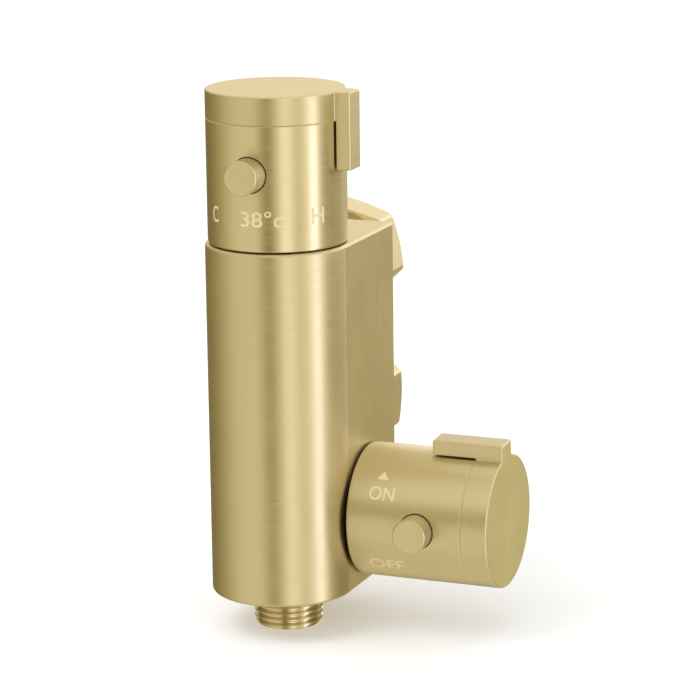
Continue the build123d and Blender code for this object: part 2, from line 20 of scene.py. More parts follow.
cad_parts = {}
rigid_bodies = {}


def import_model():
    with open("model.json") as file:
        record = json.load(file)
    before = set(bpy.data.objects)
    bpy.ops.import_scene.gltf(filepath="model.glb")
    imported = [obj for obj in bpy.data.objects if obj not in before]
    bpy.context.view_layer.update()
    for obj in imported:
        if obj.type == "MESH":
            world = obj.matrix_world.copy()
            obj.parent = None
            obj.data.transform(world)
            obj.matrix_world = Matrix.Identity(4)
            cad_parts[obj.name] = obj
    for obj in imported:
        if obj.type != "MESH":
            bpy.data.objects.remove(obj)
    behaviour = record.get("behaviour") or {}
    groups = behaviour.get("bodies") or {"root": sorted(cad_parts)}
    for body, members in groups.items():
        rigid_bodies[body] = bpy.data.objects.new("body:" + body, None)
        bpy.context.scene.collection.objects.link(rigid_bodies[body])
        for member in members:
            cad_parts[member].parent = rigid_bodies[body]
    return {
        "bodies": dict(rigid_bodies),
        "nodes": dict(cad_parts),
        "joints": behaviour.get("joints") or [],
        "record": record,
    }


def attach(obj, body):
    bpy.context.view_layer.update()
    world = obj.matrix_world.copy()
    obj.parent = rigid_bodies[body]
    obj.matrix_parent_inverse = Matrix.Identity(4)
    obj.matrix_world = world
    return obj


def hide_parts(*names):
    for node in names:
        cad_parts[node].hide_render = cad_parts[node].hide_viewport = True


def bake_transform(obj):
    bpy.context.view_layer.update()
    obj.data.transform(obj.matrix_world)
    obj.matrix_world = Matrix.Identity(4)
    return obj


log = logging.getLogger("mixing_valve")

Colour = Tuple[float, float, float]
Outline = Sequence[Tuple[float, float]]

MM = 0.001
ROUND = 192  # Flats of a full turn.
TINY = 1e-6  # Points nearer than this count as one, in metres.
NEAR = 1e-5  # The same for points that were worked out in two ways.
LARGE = 6e-5  # A larger face is flat, with sharp edges all round, in square metres.
SPARE = 1.0  # How far a shape that cuts or is cut runs past the cut, in millimetres.
THREAD_PITCH = 1.814


class Surface(Enum):
    """How a piece of brass was worked, which sets the direction of its fine lines."""

    TURNED = "turned"
    DRAWN = "drawn"


class Side(Enum):
    """Which of the two knobs or inlets a piece belongs to."""

    TEMP = "temp"
    FLOW = "flow"
    UPPER = "upper"
    LOWER = "lower"


# Frames of the sub-assemblies. Each builds its pieces along its own +Z axis.

X_AXIS = Vector((1.0, 0.0, 0.0))
Y_AXIS = Vector((0.0, 1.0, 0.0))
Z_AXIS = Vector((0.0, 0.0, 1.0))

COLUMN_RADIUS = 21.7
COLUMN_DEPTH = 38.0
COLUMN_HEIGHT = 107.3
COLUMN_AXIS_Y = -3.5 * MM
COLUMN_AXIS = Matrix.Translation((0.0, COLUMN_AXIS_Y, 0.0))
KNOB_GAP = 0.5
FLOW_AXIS_Y = 11.9
FLOW_AXIS_HEIGHT = 23.05
BUTTON_HEIGHT = 22.6
UPPER_INLET = 93.3 * MM
LOWER_INLET = 47.1 * MM

TEMP_FRAME = Matrix.Translation((0.0, COLUMN_AXIS_Y, (COLUMN_HEIGHT + KNOB_GAP) * MM))
FLOW_FRAME = Matrix.Translation(
    ((COLUMN_RADIUS + KNOB_GAP) * MM, FLOW_AXIS_Y * MM, FLOW_AXIS_HEIGHT * MM)
) @ Matrix.Rotation(math.radians(90), 4, "Y")
# From a knob's frame to its button's, which looks out of the barrel's front.
ACROSS = Matrix.Translation((0.0, 0.0, BUTTON_HEIGHT * MM)) @ Matrix.Rotation(
    math.radians(90), 4, "X"
)


def inlet_frame(height: float) -> Matrix:
    """Frame of an inlet, whose +Z runs from the column's back to the wall.

    Args:
        height: The inlet's height above the column's underside, in metres.

    Returns:
        The frame as a matrix.
    """
    back = COLUMN_DEPTH * MM + COLUMN_AXIS_Y
    return Matrix.Translation((0.0, back, height)) @ Matrix.Rotation(math.radians(-90), 4, "X")


# Shapes


def up(height: float) -> Tuple[float, float, float]:
    """Point or step on the Z axis, in metres, of a height in millimetres."""
    return (0.0, 0.0, height * MM)


def stepped(start: float, *steps: Tuple[float, float]) -> Outline:
    """Outline of a bore in steps, closed on its axis.

    Args:
        start: Height where the first step begins, in millimetres.
        *steps: Radius of each step and the height where it ends, in millimetres.

    Returns:
        The outline.
    """
    points = [(0.0, start)]
    for radius, end in steps:
        points += [(radius, points[-1][1]), (radius, end)]
    return tuple(points) + ((0.0, points[-1][1]),)


def edges_where(
    bm: bmesh.types.BMesh, test: Callable[[bmesh.types.BMVert], bool]
) -> List[bmesh.types.BMEdge]:
    """Edges whose two ends both pass a test."""
    return [e for e in bm.edges if all(test(v) for v in e.verts)]


def draw_out(
    bm: bmesh.types.BMesh,
    faces: Iterable[bmesh.types.BMFace],
    height: float,
    keep: bool = False,
) -> None:
    """Draws faces out along the Z axis.

    Args:
        bm: The mesh that holds the faces.
        faces: The faces.
        height: How far they go, in millimetres.
        keep: Whether the faces also stay where they were.
    """
    grown = bmesh.ops.extrude_face_region(bm, geom=list(faces), use_keep_orig=keep)["geom"]
    moved = [v for v in grown if isinstance(v, bmesh.types.BMVert)]
    bmesh.ops.translate(bm, vec=up(height), verts=moved)


def slice_at(
    bm: bmesh.types.BMesh, place: Sequence[float], normal: Vector, clear: bool = False
) -> List[bmesh.types.BMEdge]:
    """Cuts all edges and faces where a plane crosses them.

    Args:
        bm: The mesh that is cut.
        place: A point of the plane.
        normal: The way that the plane looks.
        clear: Whether what lies beyond the plane goes.

    Returns:
        The edges that lie in the plane.
    """
    cut = bmesh.ops.bisect_plane(
        bm,
        geom=list(bm.verts) + list(bm.edges) + list(bm.faces),
        plane_co=place,
        plane_no=normal,
        clear_outer=clear,
    )
    return [e for e in cut["geom_cut"] if isinstance(e, bmesh.types.BMEdge)]


def turn(
    bm: bmesh.types.BMesh,
    outline: Outline,
    closed: bool = True,
    steps: int = ROUND,
    angle: float = math.tau,
    climb: float = 0.0,
) -> None:
    """Turns an outline about the Z axis.

    Args:
        bm: The mesh that gets the turned shape.
        outline: Radius and height of each point, in millimetres.
        closed: Whether the last point joins the first.
        steps: How many flats the turned shape has.
        angle: How far the outline turns, in radians.
        climb: How far it rises on the way, in millimetres.
    """
    verts = [bm.verts.new((r * MM, 0.0, z * MM)) for r, z in outline]
    pairs = list(zip(verts, verts[1:]))
    if closed:
        pairs.append((verts[-1], verts[0]))
    edges = [bm.edges.new(pair) for pair in pairs]
    bmesh.ops.spin(
        bm,
        geom=verts + edges,
        cent=(0.0, 0.0, 0.0),
        axis=Z_AXIS,
        dvec=up(climb / steps),
        angle=angle,
        steps=steps,
        use_merge=angle == math.tau and not climb,
    )
    bmesh.ops.remove_doubles(bm, verts=bm.verts, dist=TINY)


def block(bm: bmesh.types.BMesh, low: Sequence[float], high: Sequence[float]) -> None:
    """Adds a block between two corners.

    Args:
        bm: The mesh that gets the block.
        low: Lowest corner, in millimetres.
        high: Highest corner, in millimetres.
    """
    middle = Vector([(a + b) / 2 * MM for a, b in zip(low, high)])
    size = Vector([(b - a) * MM for a, b in zip(low, high)])
    made = bmesh.ops.create_cube(bm, size=1.0)["verts"]
    bmesh.ops.scale(bm, vec=size, verts=made)
    bmesh.ops.translate(bm, vec=middle, verts=made)


def soften(
    bm: bmesh.types.BMesh,
    edges: Iterable[bmesh.types.BMEdge],
    width: float,
    steps: int = 3,
    clamp: bool = True,
) -> None:
    """Rounds edges off.

    Args:
        bm: The mesh that holds the edges.
        edges: The edges to round.
        width: Size of the round, in millimetres.
        steps: How many flats the round has.
        clamp: Whether a round stays smaller where its neighbours leave no room.
    """
    bmesh.ops.bevel(
        bm,
        geom=list(edges),
        offset=width * MM,
        offset_type="OFFSET",
        segments=steps,
        profile=0.5,
        affect="EDGES",
        material=-1,
        clamp_overlap=clamp,
    )


def at_height(
    bm: bmesh.types.BMesh, height: float, least_radius: float = 0.0
) -> List[bmesh.types.BMEdge]:
    """Edges that lie at one height, outside a radius.

    Args:
        bm: The mesh to search.
        height: The height, in millimetres.
        least_radius: Edges nearer to the axis are left out, in millimetres.

    Returns:
        The edges found.
    """
    return edges_where(
        bm,
        lambda v: abs(v.co.z - height * MM) < TINY and v.co.xy.length > least_radius * MM - TINY,
    )


def thread(bm: bmesh.types.BMesh, crest: float, root: float, low: float, high: float) -> None:
    """Adds a closed rod with a screw thread of THREAD_PITCH.

    The thread is wound two turns past each end, and then cut off level.

    Args:
        bm: The mesh that gets the rod.
        crest: Radius of the crests, in millimetres.
        root: Radius of the grooves, in millimetres.
        low: Lower end, in millimetres.
        high: Upper end, in millimetres.
    """
    extra = 2
    form = ((root, 0.0), (root, 0.08), (crest, 0.42), (crest, 0.58), (root, 0.92))
    turns = int((high - low) / THREAD_PITCH) + 2 * extra + 1
    points = [
        (r, low + (number - extra + share) * THREAD_PITCH)
        for number in range(turns)
        for r, share in form
    ]
    points.append((root, low + (turns - extra) * THREAD_PITCH))
    turn(bm, points, closed=False, steps=ROUND // 2, climb=THREAD_PITCH)
    for height, outwards in ((low, -Z_AXIS), (high, Z_AXIS)):
        rim = slice_at(bm, up(height), outwards, clear=True)
        bmesh.ops.edgenet_fill(bm, edges=rim)
    bmesh.ops.recalc_face_normals(bm, faces=bm.faces)


def combine(target: bpy.types.Mesh, tool: bpy.types.Mesh, how: str) -> bpy.types.Mesh:
    """Cuts one closed mesh with another, or keeps what they share.

    Args:
        target: The mesh that is worked on. It isn't changed.
        tool: The mesh that cuts.
        how: DIFFERENCE or INTERSECT.

    Returns:
        The new mesh.
    """
    body = bpy.data.objects.new("work", target)
    cutter = bpy.data.objects.new("tool", tool)
    for made in (body, cutter):
        bpy.context.scene.collection.objects.link(made)
    modifier = body.modifiers.new("cut", "BOOLEAN")
    modifier.operation = how
    modifier.solver = "EXACT"
    modifier.object = cutter
    bpy.context.view_layer.update()
    graph = bpy.context.evaluated_depsgraph_get()
    result = bpy.data.meshes.new_from_object(body.evaluated_get(graph))
    for made in (body, cutter):
        bpy.data.objects.remove(made)
    return result


def rework(mesh: bpy.types.Mesh, change: Callable[[bmesh.types.BMesh], None]) -> bpy.types.Mesh:
    """Opens a mesh for a function that changes it, and closes it again.

    Args:
        mesh: The mesh.
        change: The function.

    Returns:
        The same mesh.
    """
    bm = bmesh.new()
    bm.from_mesh(mesh)
    change(bm)
    bm.to_mesh(mesh)
    bm.free()
    return mesh


def mesh_from(
    make: Callable[[bmesh.types.BMesh], None], matrix: Optional[Matrix] = None
) -> bpy.types.Mesh:
    """Runs a function that shapes a bmesh and returns the mesh.

    Args:
        make: The function that adds the shape.
        matrix: Where the shape goes afterwards.

    Returns:
        The mesh, its faces pointing outwards.
    """
    def shape(bm: bmesh.types.BMesh) -> None:
        """Makes the shape and puts it in place."""
        make(bm)
        if matrix is not None:
            bmesh.ops.transform(bm, matrix=matrix, verts=bm.verts)
        bmesh.ops.recalc_face_normals(bm, faces=bm.faces)

    return rework(bpy.data.meshes.new("shape"), shape)


def solid_turning(outline: Outline, matrix: Optional[Matrix] = None) -> bpy.types.Mesh:
    """Closed turned shape as a mesh.

    Args:
        outline: Radius and height of each point, in millimetres.
        matrix: Where the shape goes afterwards.

    Returns:
        The mesh.
    """
    return mesh_from(lambda bm: turn(bm, outline), matrix)


@dataclass(frozen=True)
class Place:
    """Where a finished piece belongs."""

    body: str
    slot: str
    stands_for: Tuple[str, ...]


def finish_piece(
    name: str,
    mesh: bpy.types.Mesh,
    place: Place,
    finishes: Sequence[bpy.types.Material],
    pick: Optional[Callable[[bpy.types.MeshPolygon], int]] = None,
    crease: float = 28.0,
) -> bpy.types.Object:
    """Makes an object of a mesh, dresses it and hangs it on its body.

    Args:
        name: The piece's name.
        mesh: Its mesh, already in place.
        place: The body and the nodes that it stands for.
        finishes: Its materials.
        pick: Gives each face the number of its material.
        crease: Edges with a sharper bend than this stay crisp, in degrees.

    Returns:
        The object.
    """
    mesh.name = name
    mesh.materials.clear()
    for finish in finishes:
        mesh.materials.append(finish)
    for polygon in mesh.polygons:
        polygon.use_smooth = polygon.area < LARGE
        polygon.material_index = pick(polygon) if pick else 0
    mesh.set_sharp_from_angle(angle=math.radians(crease))
    for polygon in mesh.polygons:
        if polygon.area > LARGE:
            for corner in polygon.loop_indices:
                mesh.edges[mesh.loops[corner].edge_index].use_edge_sharp = True
    piece = bpy.data.objects.new(name, mesh)
    bpy.context.scene.collection.objects.link(piece)
    level = piece.modifiers.new("level_faces", "WEIGHTED_NORMAL")
    level.keep_sharp = True
    level.weight = 80
    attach(piece, place.body)
    if place.stands_for:
        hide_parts(*place.stands_for)
    log.info("%s: %d faces", name, len(mesh.polygons))
    return piece


# Finishes


class Nodes:
    """Small helper that adds shader nodes and joins them."""

    WEAK = 0.3  # A noise pattern seldom falls below this,
    STRONG = 0.7  # and seldom rises above this.

    def __init__(self, material: bpy.types.Material) -> None:
        """Starts with an empty node tree.

        Args:
            material: The material whose nodes are made.
        """
        material.use_nodes = True
        self.tree = material.node_tree
        self.tree.nodes.clear()

    def add(
        self, kind: str, inputs: Optional[Dict[object, object]] = None, **settings: object
    ) -> bpy.types.Node:
        """Adds a node.

        Args:
            kind: The node's type.
            inputs: A value, or the socket that feeds it, for each input.
            **settings: The node's own settings.

        Returns:
            The node.
        """
        node = self.tree.nodes.new(kind)
        for key, value in settings.items():
            setattr(node, key, value)
        for key, value in (inputs or {}).items():
            if isinstance(value, bpy.types.NodeSocket):
                self.tree.links.new(value, node.inputs[key])
            else:
                node.inputs[key].default_value = value
        return node

    def math(self, operation: str, *values: object) -> bpy.types.NodeSocket:
        """Result of a calculation with one, two or three numbers."""
        node = self.add("ShaderNodeMath", dict(enumerate(values)), operation=operation)
        return node.outputs[0]

    def vector(self, operation: str, *values: object) -> bpy.types.NodeSocket:
        """Result of a calculation with vectors: a number for DOT_PRODUCT and LENGTH."""
        node = self.add("ShaderNodeVectorMath", dict(enumerate(values)), operation=operation)
        return node.outputs["Value" if operation in ("DOT_PRODUCT", "LENGTH") else "Vector"]

    def scaled(self, vector: object, factor: object) -> bpy.types.NodeSocket:
        """A vector times a number."""
        inputs = {0: vector, "Scale": factor}
        return self.add("ShaderNodeVectorMath", inputs, operation="SCALE").outputs["Vector"]

    def mixed(self, factor: bpy.types.NodeSocket, first: object, second: object) -> bpy.types.NodeSocket:
        """Goes from one number to another as the factor goes from 0 to 1."""
        node = self.add("ShaderNodeMix", {"Factor": factor, "A": first, "B": second})
        return node.outputs["Result"]

    def eased(self, value: bpy.types.NodeSocket, start: float, end: float) -> bpy.types.NodeSocket:
        """Goes softly from 0 to 1 while a value goes from one number to another."""
        inputs = {"Value": value, "From Min": start, "From Max": end}
        node = self.add("ShaderNodeMapRange", inputs, interpolation_type="SMOOTHSTEP")
        return node.outputs["Result"]

    def tinted(
        self, factor: bpy.types.NodeSocket, colour: Colour, darker: float, lighter: float
    ) -> bpy.types.NodeSocket:
        """Goes from a darker to a lighter shade of a colour.

        Args:
            factor: From 0 for the darker shade to 1 for the lighter one.
            colour: The colour.
            darker: How much of the colour the darker shade lacks.
            lighter: How much the lighter shade has more.

        Returns:
            The socket with the colour.
        """
        dark, light = (
            tuple(min(1.0, c * share) for c in colour) + (1.0,)
            for share in (1.0 - darker, 1.0 + lighter)
        )
        node = self.add("ShaderNodeMixRGB", {"Fac": factor, "Color1": dark, "Color2": light})
        return node.outputs["Color"]

    def bump(
        self, height: bpy.types.NodeSocket, strength: float, distance: float
    ) -> bpy.types.NodeSocket:
        """Direction of a surface that a pattern makes uneven.

        Args:
            height: The pattern.
            strength: How much it shows, from 0 to 1.
            distance: How deep it is, in millimetres.

        Returns:
            The socket with the direction.
        """
        inputs = {"Height": height, "Strength": strength, "Distance": distance * MM}
        return self.add("ShaderNodeBump", inputs).outputs["Normal"]

    def close(self, inputs: Dict[object, object]) -> None:
        """Ends a material with its shader.

        Args:
            inputs: A value, or the socket that feeds it, for each of the shader's inputs.
        """
        shader = self.add("ShaderNodeBsdfPrincipled", inputs)
        self.add("ShaderNodeOutputMaterial", {"Surface": shader.outputs[0]})

    def noise(
        self, vector: bpy.types.NodeSocket, scale: float, detail: float, rough: float = 0.5
    ) -> bpy.types.NodeSocket:
        """Strength of a cloudy pattern.

        Args:
            vector: Where the pattern is read.
            scale: How fine it is.
            detail: How many finer layers it has.
            rough: How strong the finer layers are.

        Returns:
            The socket with the strength, from 0 to 1.
        """
        node = self.add(
            "ShaderNodeTexNoise",
            {"Vector": vector, "Scale": scale, "Detail": detail, "Roughness": rough},
        )
        return node.outputs["Fac"]

    def spread(self, value: bpy.types.NodeSocket, low: float, high: float) -> bpy.types.NodeSocket:
        """Maps a pattern's middle range onto two values.

        Args:
            value: The pattern's strength.
            low: Result where the pattern is weak.
            high: Result where it is strong.

        Returns:
            The socket with the result.
        """
        reach = {"From Min": self.WEAK, "From Max": self.STRONG, "To Min": low, "To Max": high}
        return self.add("ShaderNodeMapRange", {"Value": value, **reach}).outputs["Result"]


@dataclass(frozen=True)
class Brass:
    """Brass with fine lines from turning or brushing.

    The lines run round the axis on a turned piece, and along it on a drawn one. They are a bump
    and a change of gloss and tone, and the highlight is stretched across them. Broad faint
    patches change the tone and the gloss as well.
    """

    name: str
    colour: Colour
    centre: Vector
    axis: Vector
    surface: Surface
    gloss: float = 0.40
    stretch: float = 0.72
    line_height: float = 0.006
    line_scale: float = 2600.0
    tone: float = 0.05
    line_share: float = 0.6
    line_gloss: float = 0.05
    line_strength: float = 0.35
    patch_scale: float = 55.0
    patch_gloss: float = 0.02
    grain_scale: float = 60.0
    ring_scale: float = 1.3
    ring_slant: float = 1.37

    def build(self) -> bpy.types.Material:
        """Makes the material."""
        material = bpy.data.materials.new(self.name)
        nodes = Nodes(material)
        place = nodes.add("ShaderNodeTexCoord").outputs["Object"]
        offset = nodes.vector("SUBTRACT", place, self.centre)
        along = nodes.vector("DOT_PRODUCT", offset, self.axis)
        flat = nodes.vector("SUBTRACT", offset, nodes.scaled(self.axis, along))
        radius = nodes.vector("LENGTH", flat)
        outward = nodes.vector("NORMALIZE", flat)
        lines, direction = self._lines(nodes, place, along, radius, outward)
        patches = nodes.noise(place, self.patch_scale, 3.0)
        faint = nodes.math("MULTIPLY", patches, 1.0 - self.line_share)
        pattern = nodes.math("MULTIPLY_ADD", lines, self.line_share, faint)
        gloss = nodes.math(
            "ADD",
            nodes.spread(lines, self.gloss - self.line_gloss, self.gloss + self.line_gloss),
            nodes.spread(patches, -self.patch_gloss, self.patch_gloss),
        )
        shades = nodes.spread(pattern, 0.0, 1.0)
        nodes.close(
            {
                "Base Color": nodes.tinted(shades, self.colour, self.tone, 0.6 * self.tone),
                "Metallic": 1.0,
                "Roughness": gloss,
                "Anisotropic": self.stretch,
                "Normal": nodes.bump(lines, self.line_strength, self.line_height),
                "Tangent": direction,
            }
        )
        return material

    def _lines(
        self,
        nodes: Nodes,
        place: bpy.types.NodeSocket,
        along: bpy.types.NodeSocket,
        radius: bpy.types.NodeSocket,
        outward: bpy.types.NodeSocket,
    ) -> Tuple[bpy.types.NodeSocket, bpy.types.NodeSocket]:
        """Pattern of the fine lines, and the direction across them.

        Args:
            nodes: The material's nodes.
            place: Position on the piece.
            along: Position along the axis.
            radius: Distance from the axis.
            outward: Direction away from the axis.

        Returns:
            The pattern's strength and the direction in which the highlight is stretched.
        """
        if self.surface is Surface.DRAWN:
            grain = self.axis
            scale = tuple(self.line_scale if abs(a) < 0.5 else self.grain_scale for a in self.axis)
            where = nodes.vector("MULTIPLY", place, scale)
        else:
            grain = nodes.vector("CROSS_PRODUCT", self.axis, outward)
            slanted = nodes.math("MULTIPLY_ADD", radius, self.ring_slant, along)
            across = nodes.math("MULTIPLY", slanted, self.line_scale)
            ring = nodes.scaled(outward, self.ring_scale)
            where = nodes.vector("ADD", ring, nodes.scaled(self.axis, across))
        world_grain = nodes.add(
            "ShaderNodeVectorTransform",
            {"Vector": grain},
            vector_type="VECTOR",
            convert_from="OBJECT",
            convert_to="WORLD",
        ).outputs["Vector"]
        normal = nodes.add("ShaderNodeNewGeometry").outputs["Normal"]
        direction = nodes.vector("NORMALIZE", nodes.vector("CROSS_PRODUCT", normal, world_grain))
        return nodes.noise(where, 1.0, 2.5, 0.6), direction


@dataclass(frozen=True)
class Simple:
    """Plastic, rubber, fibre, ceramic or steel with a fine even grain."""

    name: str
    colour: Colour
    gloss: float
    metal: float = 0.0
    grain: float = 900.0
    depth: float = 0.02
    tone: float = 0.06
    grain_gloss: float = 0.04
    grain_strength: float = 0.3
    patch_size: float = 12.0

    def build(self) -> bpy.types.Material:
        """Makes the material."""
        material = bpy.data.materials.new(self.name)
        nodes = Nodes(material)
        place = nodes.add("ShaderNodeTexCoord").outputs["Object"]
        fine = nodes.noise(place, self.grain, 3.0)
        broad = nodes.noise(place, self.grain / self.patch_size, 2.0)
        shades = nodes.spread(broad, 0.0, 1.0)
        gloss = nodes.spread(fine, self.gloss - self.grain_gloss, self.gloss + self.grain_gloss)
        nodes.close(
            {
                "Base Color": nodes.tinted(shades, self.colour, self.tone, self.tone),
                "Metallic": self.metal,
                "Roughness": gloss,
                "Normal": nodes.bump(fine, self.grain_strength, self.depth),
            }
        )
        return material


PALE_BRASS: Colour = (0.85, 0.70, 0.385)
END_BRASS: Colour = (0.87, 0.70, 0.36)
NUT_BRASS: Colour = (0.94, 0.775, 0.43)
# The on/off knob's tab is a darker copy of its brass: painted shade.
TAB_SHADED_BRASS: Colour = (0.72, 0.59, 0.32)
# Lighter brass on the knobs' rounded edges, a painted highlight.
EDGE_HIGHLIGHT_BRASS: Colour = (0.90, 0.75, 0.42)
# Lighter copy of the column's brass for its flat sides, painted light.
FLAT_LIT_BRASS: Colour = (0.90, 0.745, 0.40)
# The on/off knob's end face is a much lighter copy of its brass: painted light.
FLOW_END_LIT_BRASS: Colour = (0.99, 0.845, 0.43)
RAW_BRASS: Colour = (0.80, 0.62, 0.30)


# How squarely a face looks along an axis, as a part of its normal's length, to count as that.
SQUARE = 0.99
NEARLY_SQUARE = 0.97
LEVEL = 0.9
SLANTED = 0.15


def turned(
    name: str, colour: Colour, centre: Vector, axis: Vector, **settings: float
) -> bpy.types.Material:
    """Brass with fine lines round an axis. The settings are those of Brass."""
    return Brass(name, colour, centre, axis, Surface.TURNED, **settings).build()


def drawn(
    name: str, colour: Colour, centre: Vector, axis: Vector, **settings: float
) -> bpy.types.Material:
    """Brass with coarser straight lines along an axis. The settings are those of Brass."""
    return Brass(name, colour, centre, axis, Surface.DRAWN, line_scale=1500.0, **settings).build()


@dataclass(frozen=True)
class KnobFinishes:
    """The finishes of one knob's faces."""

    barrel: bpy.types.Material
    cap: bpy.types.Material
    end: bpy.types.Material
    tab: bpy.types.Material
    button: bpy.types.Material


class Finishes:
    """All the finishes of the valve, each made once."""

    def __init__(self) -> None:
        """Makes the finishes that the pieces share."""
        column = COLUMN_AXIS.translation
        flow = FLOW_FRAME.translation
        self.column_front = turned("column_front", PALE_BRASS, column, Z_AXIS, gloss=0.41)
        # The flat sides get a lighter brass than the round front: painted light.
        self.column_flat = drawn(
            "column_flat", FLAT_LIT_BRASS, column, Z_AXIS, gloss=0.42, stretch=0.35, tone=0.045
        )
        self.column_bore = turned("column_bore", RAW_BRASS, column, Z_AXIS, gloss=0.35, stretch=0.5)
        self.level_end = drawn(
            "level_end", END_BRASS, column, X_AXIS, gloss=0.42, stretch=0.1, tone=0.03
        )
        # The rounded edges get a lighter brass: a painted highlight along them.
        self.edge = drawn(
            "edge_painted_highlight",
            EDGE_HIGHLIGHT_BRASS,
            column,
            Z_AXIS,
            gloss=0.48,
            stretch=0.0,
            line_height=0.002,
            tone=0.03,
        )
        self.mark = Simple(
            "sign_brass", (0.93, 0.79, 0.46), 0.6, metal=0.45, grain=4000.0, depth=0.01, tone=0.03
        ).build()
        self.outlet = turned(
            "outlet_thread_brass", PALE_BRASS, Vector(), Z_AXIS, gloss=0.24, stretch=0.4
        )
        temp_cap = turned("temp_cap_brush", PALE_BRASS, column, Z_AXIS, gloss=0.41)
        flow_knob = turned("flow_knob_brush", PALE_BRASS, flow, X_AXIS, gloss=0.37)
        self.knobs = {
            Side.TEMP: KnobFinishes(
                turned("temp_knob_brush", PALE_BRASS, column, Z_AXIS, gloss=0.33, line_height=0.004),
                temp_cap,
                self.level_end,
                temp_cap,
                self._button("temp_button_brush", TEMP_FRAME),
            ),
            Side.FLOW: KnobFinishes(
                flow_knob,
                flow_knob,
                # Its end face gets a lighter brass than the rest of the knob, as painted light.
                drawn("side_end", FLOW_END_LIT_BRASS, flow, Z_AXIS, gloss=0.50, stretch=0.1, tone=0.03),
                # Its tab's outer faces get a darker brass than the cap, as painted shade.
                turned("flow_tab_painted_shade", TAB_SHADED_BRASS, flow, X_AXIS, gloss=0.42),
                self._button("flow_button_brush", FLOW_FRAME),
            ),
        }
        self.by_slot = self._slots()

    def _button(self, name: str, frame: Matrix) -> bpy.types.Material:
        """Finish of a push button, with rings on its face.

        Args:
            name: The material's name.
            frame: The knob's frame.

        Returns:
            The material.
        """
        centre = (frame @ ACROSS).translation
        return turned(name, PALE_BRASS, centre, Y_AXIS, gloss=0.40, stretch=0.4)

    def nut(self, height: float) -> bpy.types.Material:
        """Finish of a union nut, turned about its own axis.

        Args:
            height: The height of the nut's axis, in metres.

        Returns:
            The material.
        """
        return turned(
            "nut_brass_%d" % round(height / MM),
            NUT_BRASS,
            inlet_frame(height).translation,
            Y_AXIS,
            gloss=0.42,
            stretch=0.3,
            line_height=0.01,
            line_scale=1800.0,
        )

    def _slots(self) -> Dict[str, bpy.types.Material]:
        """Finish of each material slot, for the nodes that stay as the source made them."""
        between = Z_AXIS * (UPPER_INLET + LOWER_INLET) / 2
        steel = {"metal": 1.0, "grain": 1500.0, "depth": 0.004}
        simple = (
            Simple("carrier_plastic", (0.035, 0.035, 0.038), 0.48),
            Simple("cartridge_plastic", (0.72, 0.72, 0.68), 0.42),
            Simple("spring_steel", (0.60, 0.60, 0.61), 0.26, **steel),
            Simple("screw_steel", (0.56, 0.56, 0.57), 0.30, **steel),
            Simple("seal_rubber", (0.012, 0.012, 0.012), 0.62),
            Simple("washer_fibre", (0.055, 0.065, 0.06), 0.8, grain=2200.0, depth=0.05, tone=0.2),
            Simple("disc_ceramic", (0.80, 0.80, 0.77), 0.16, grain=1200.0, depth=0.002, tone=0.02),
        )
        slots = {
            "column_brass": self.column_front,
            "knob_brass": self.knobs[Side.TEMP].barrel,
            "button_brass": self.knobs[Side.TEMP].button,
            "nut_brass": turned("tail_brass", PALE_BRASS, between, Y_AXIS, gloss=0.34, stretch=0.4),
            "outlet_brass": self.outlet,
            "inner_brass": turned(
                "inner_brass", RAW_BRASS, COLUMN_AXIS.translation, Z_AXIS, gloss=0.33, stretch=0.5
            ),
        }
        slots.update((finish.name, finish.build()) for finish in simple)
        return slots


# Sub-assemblies


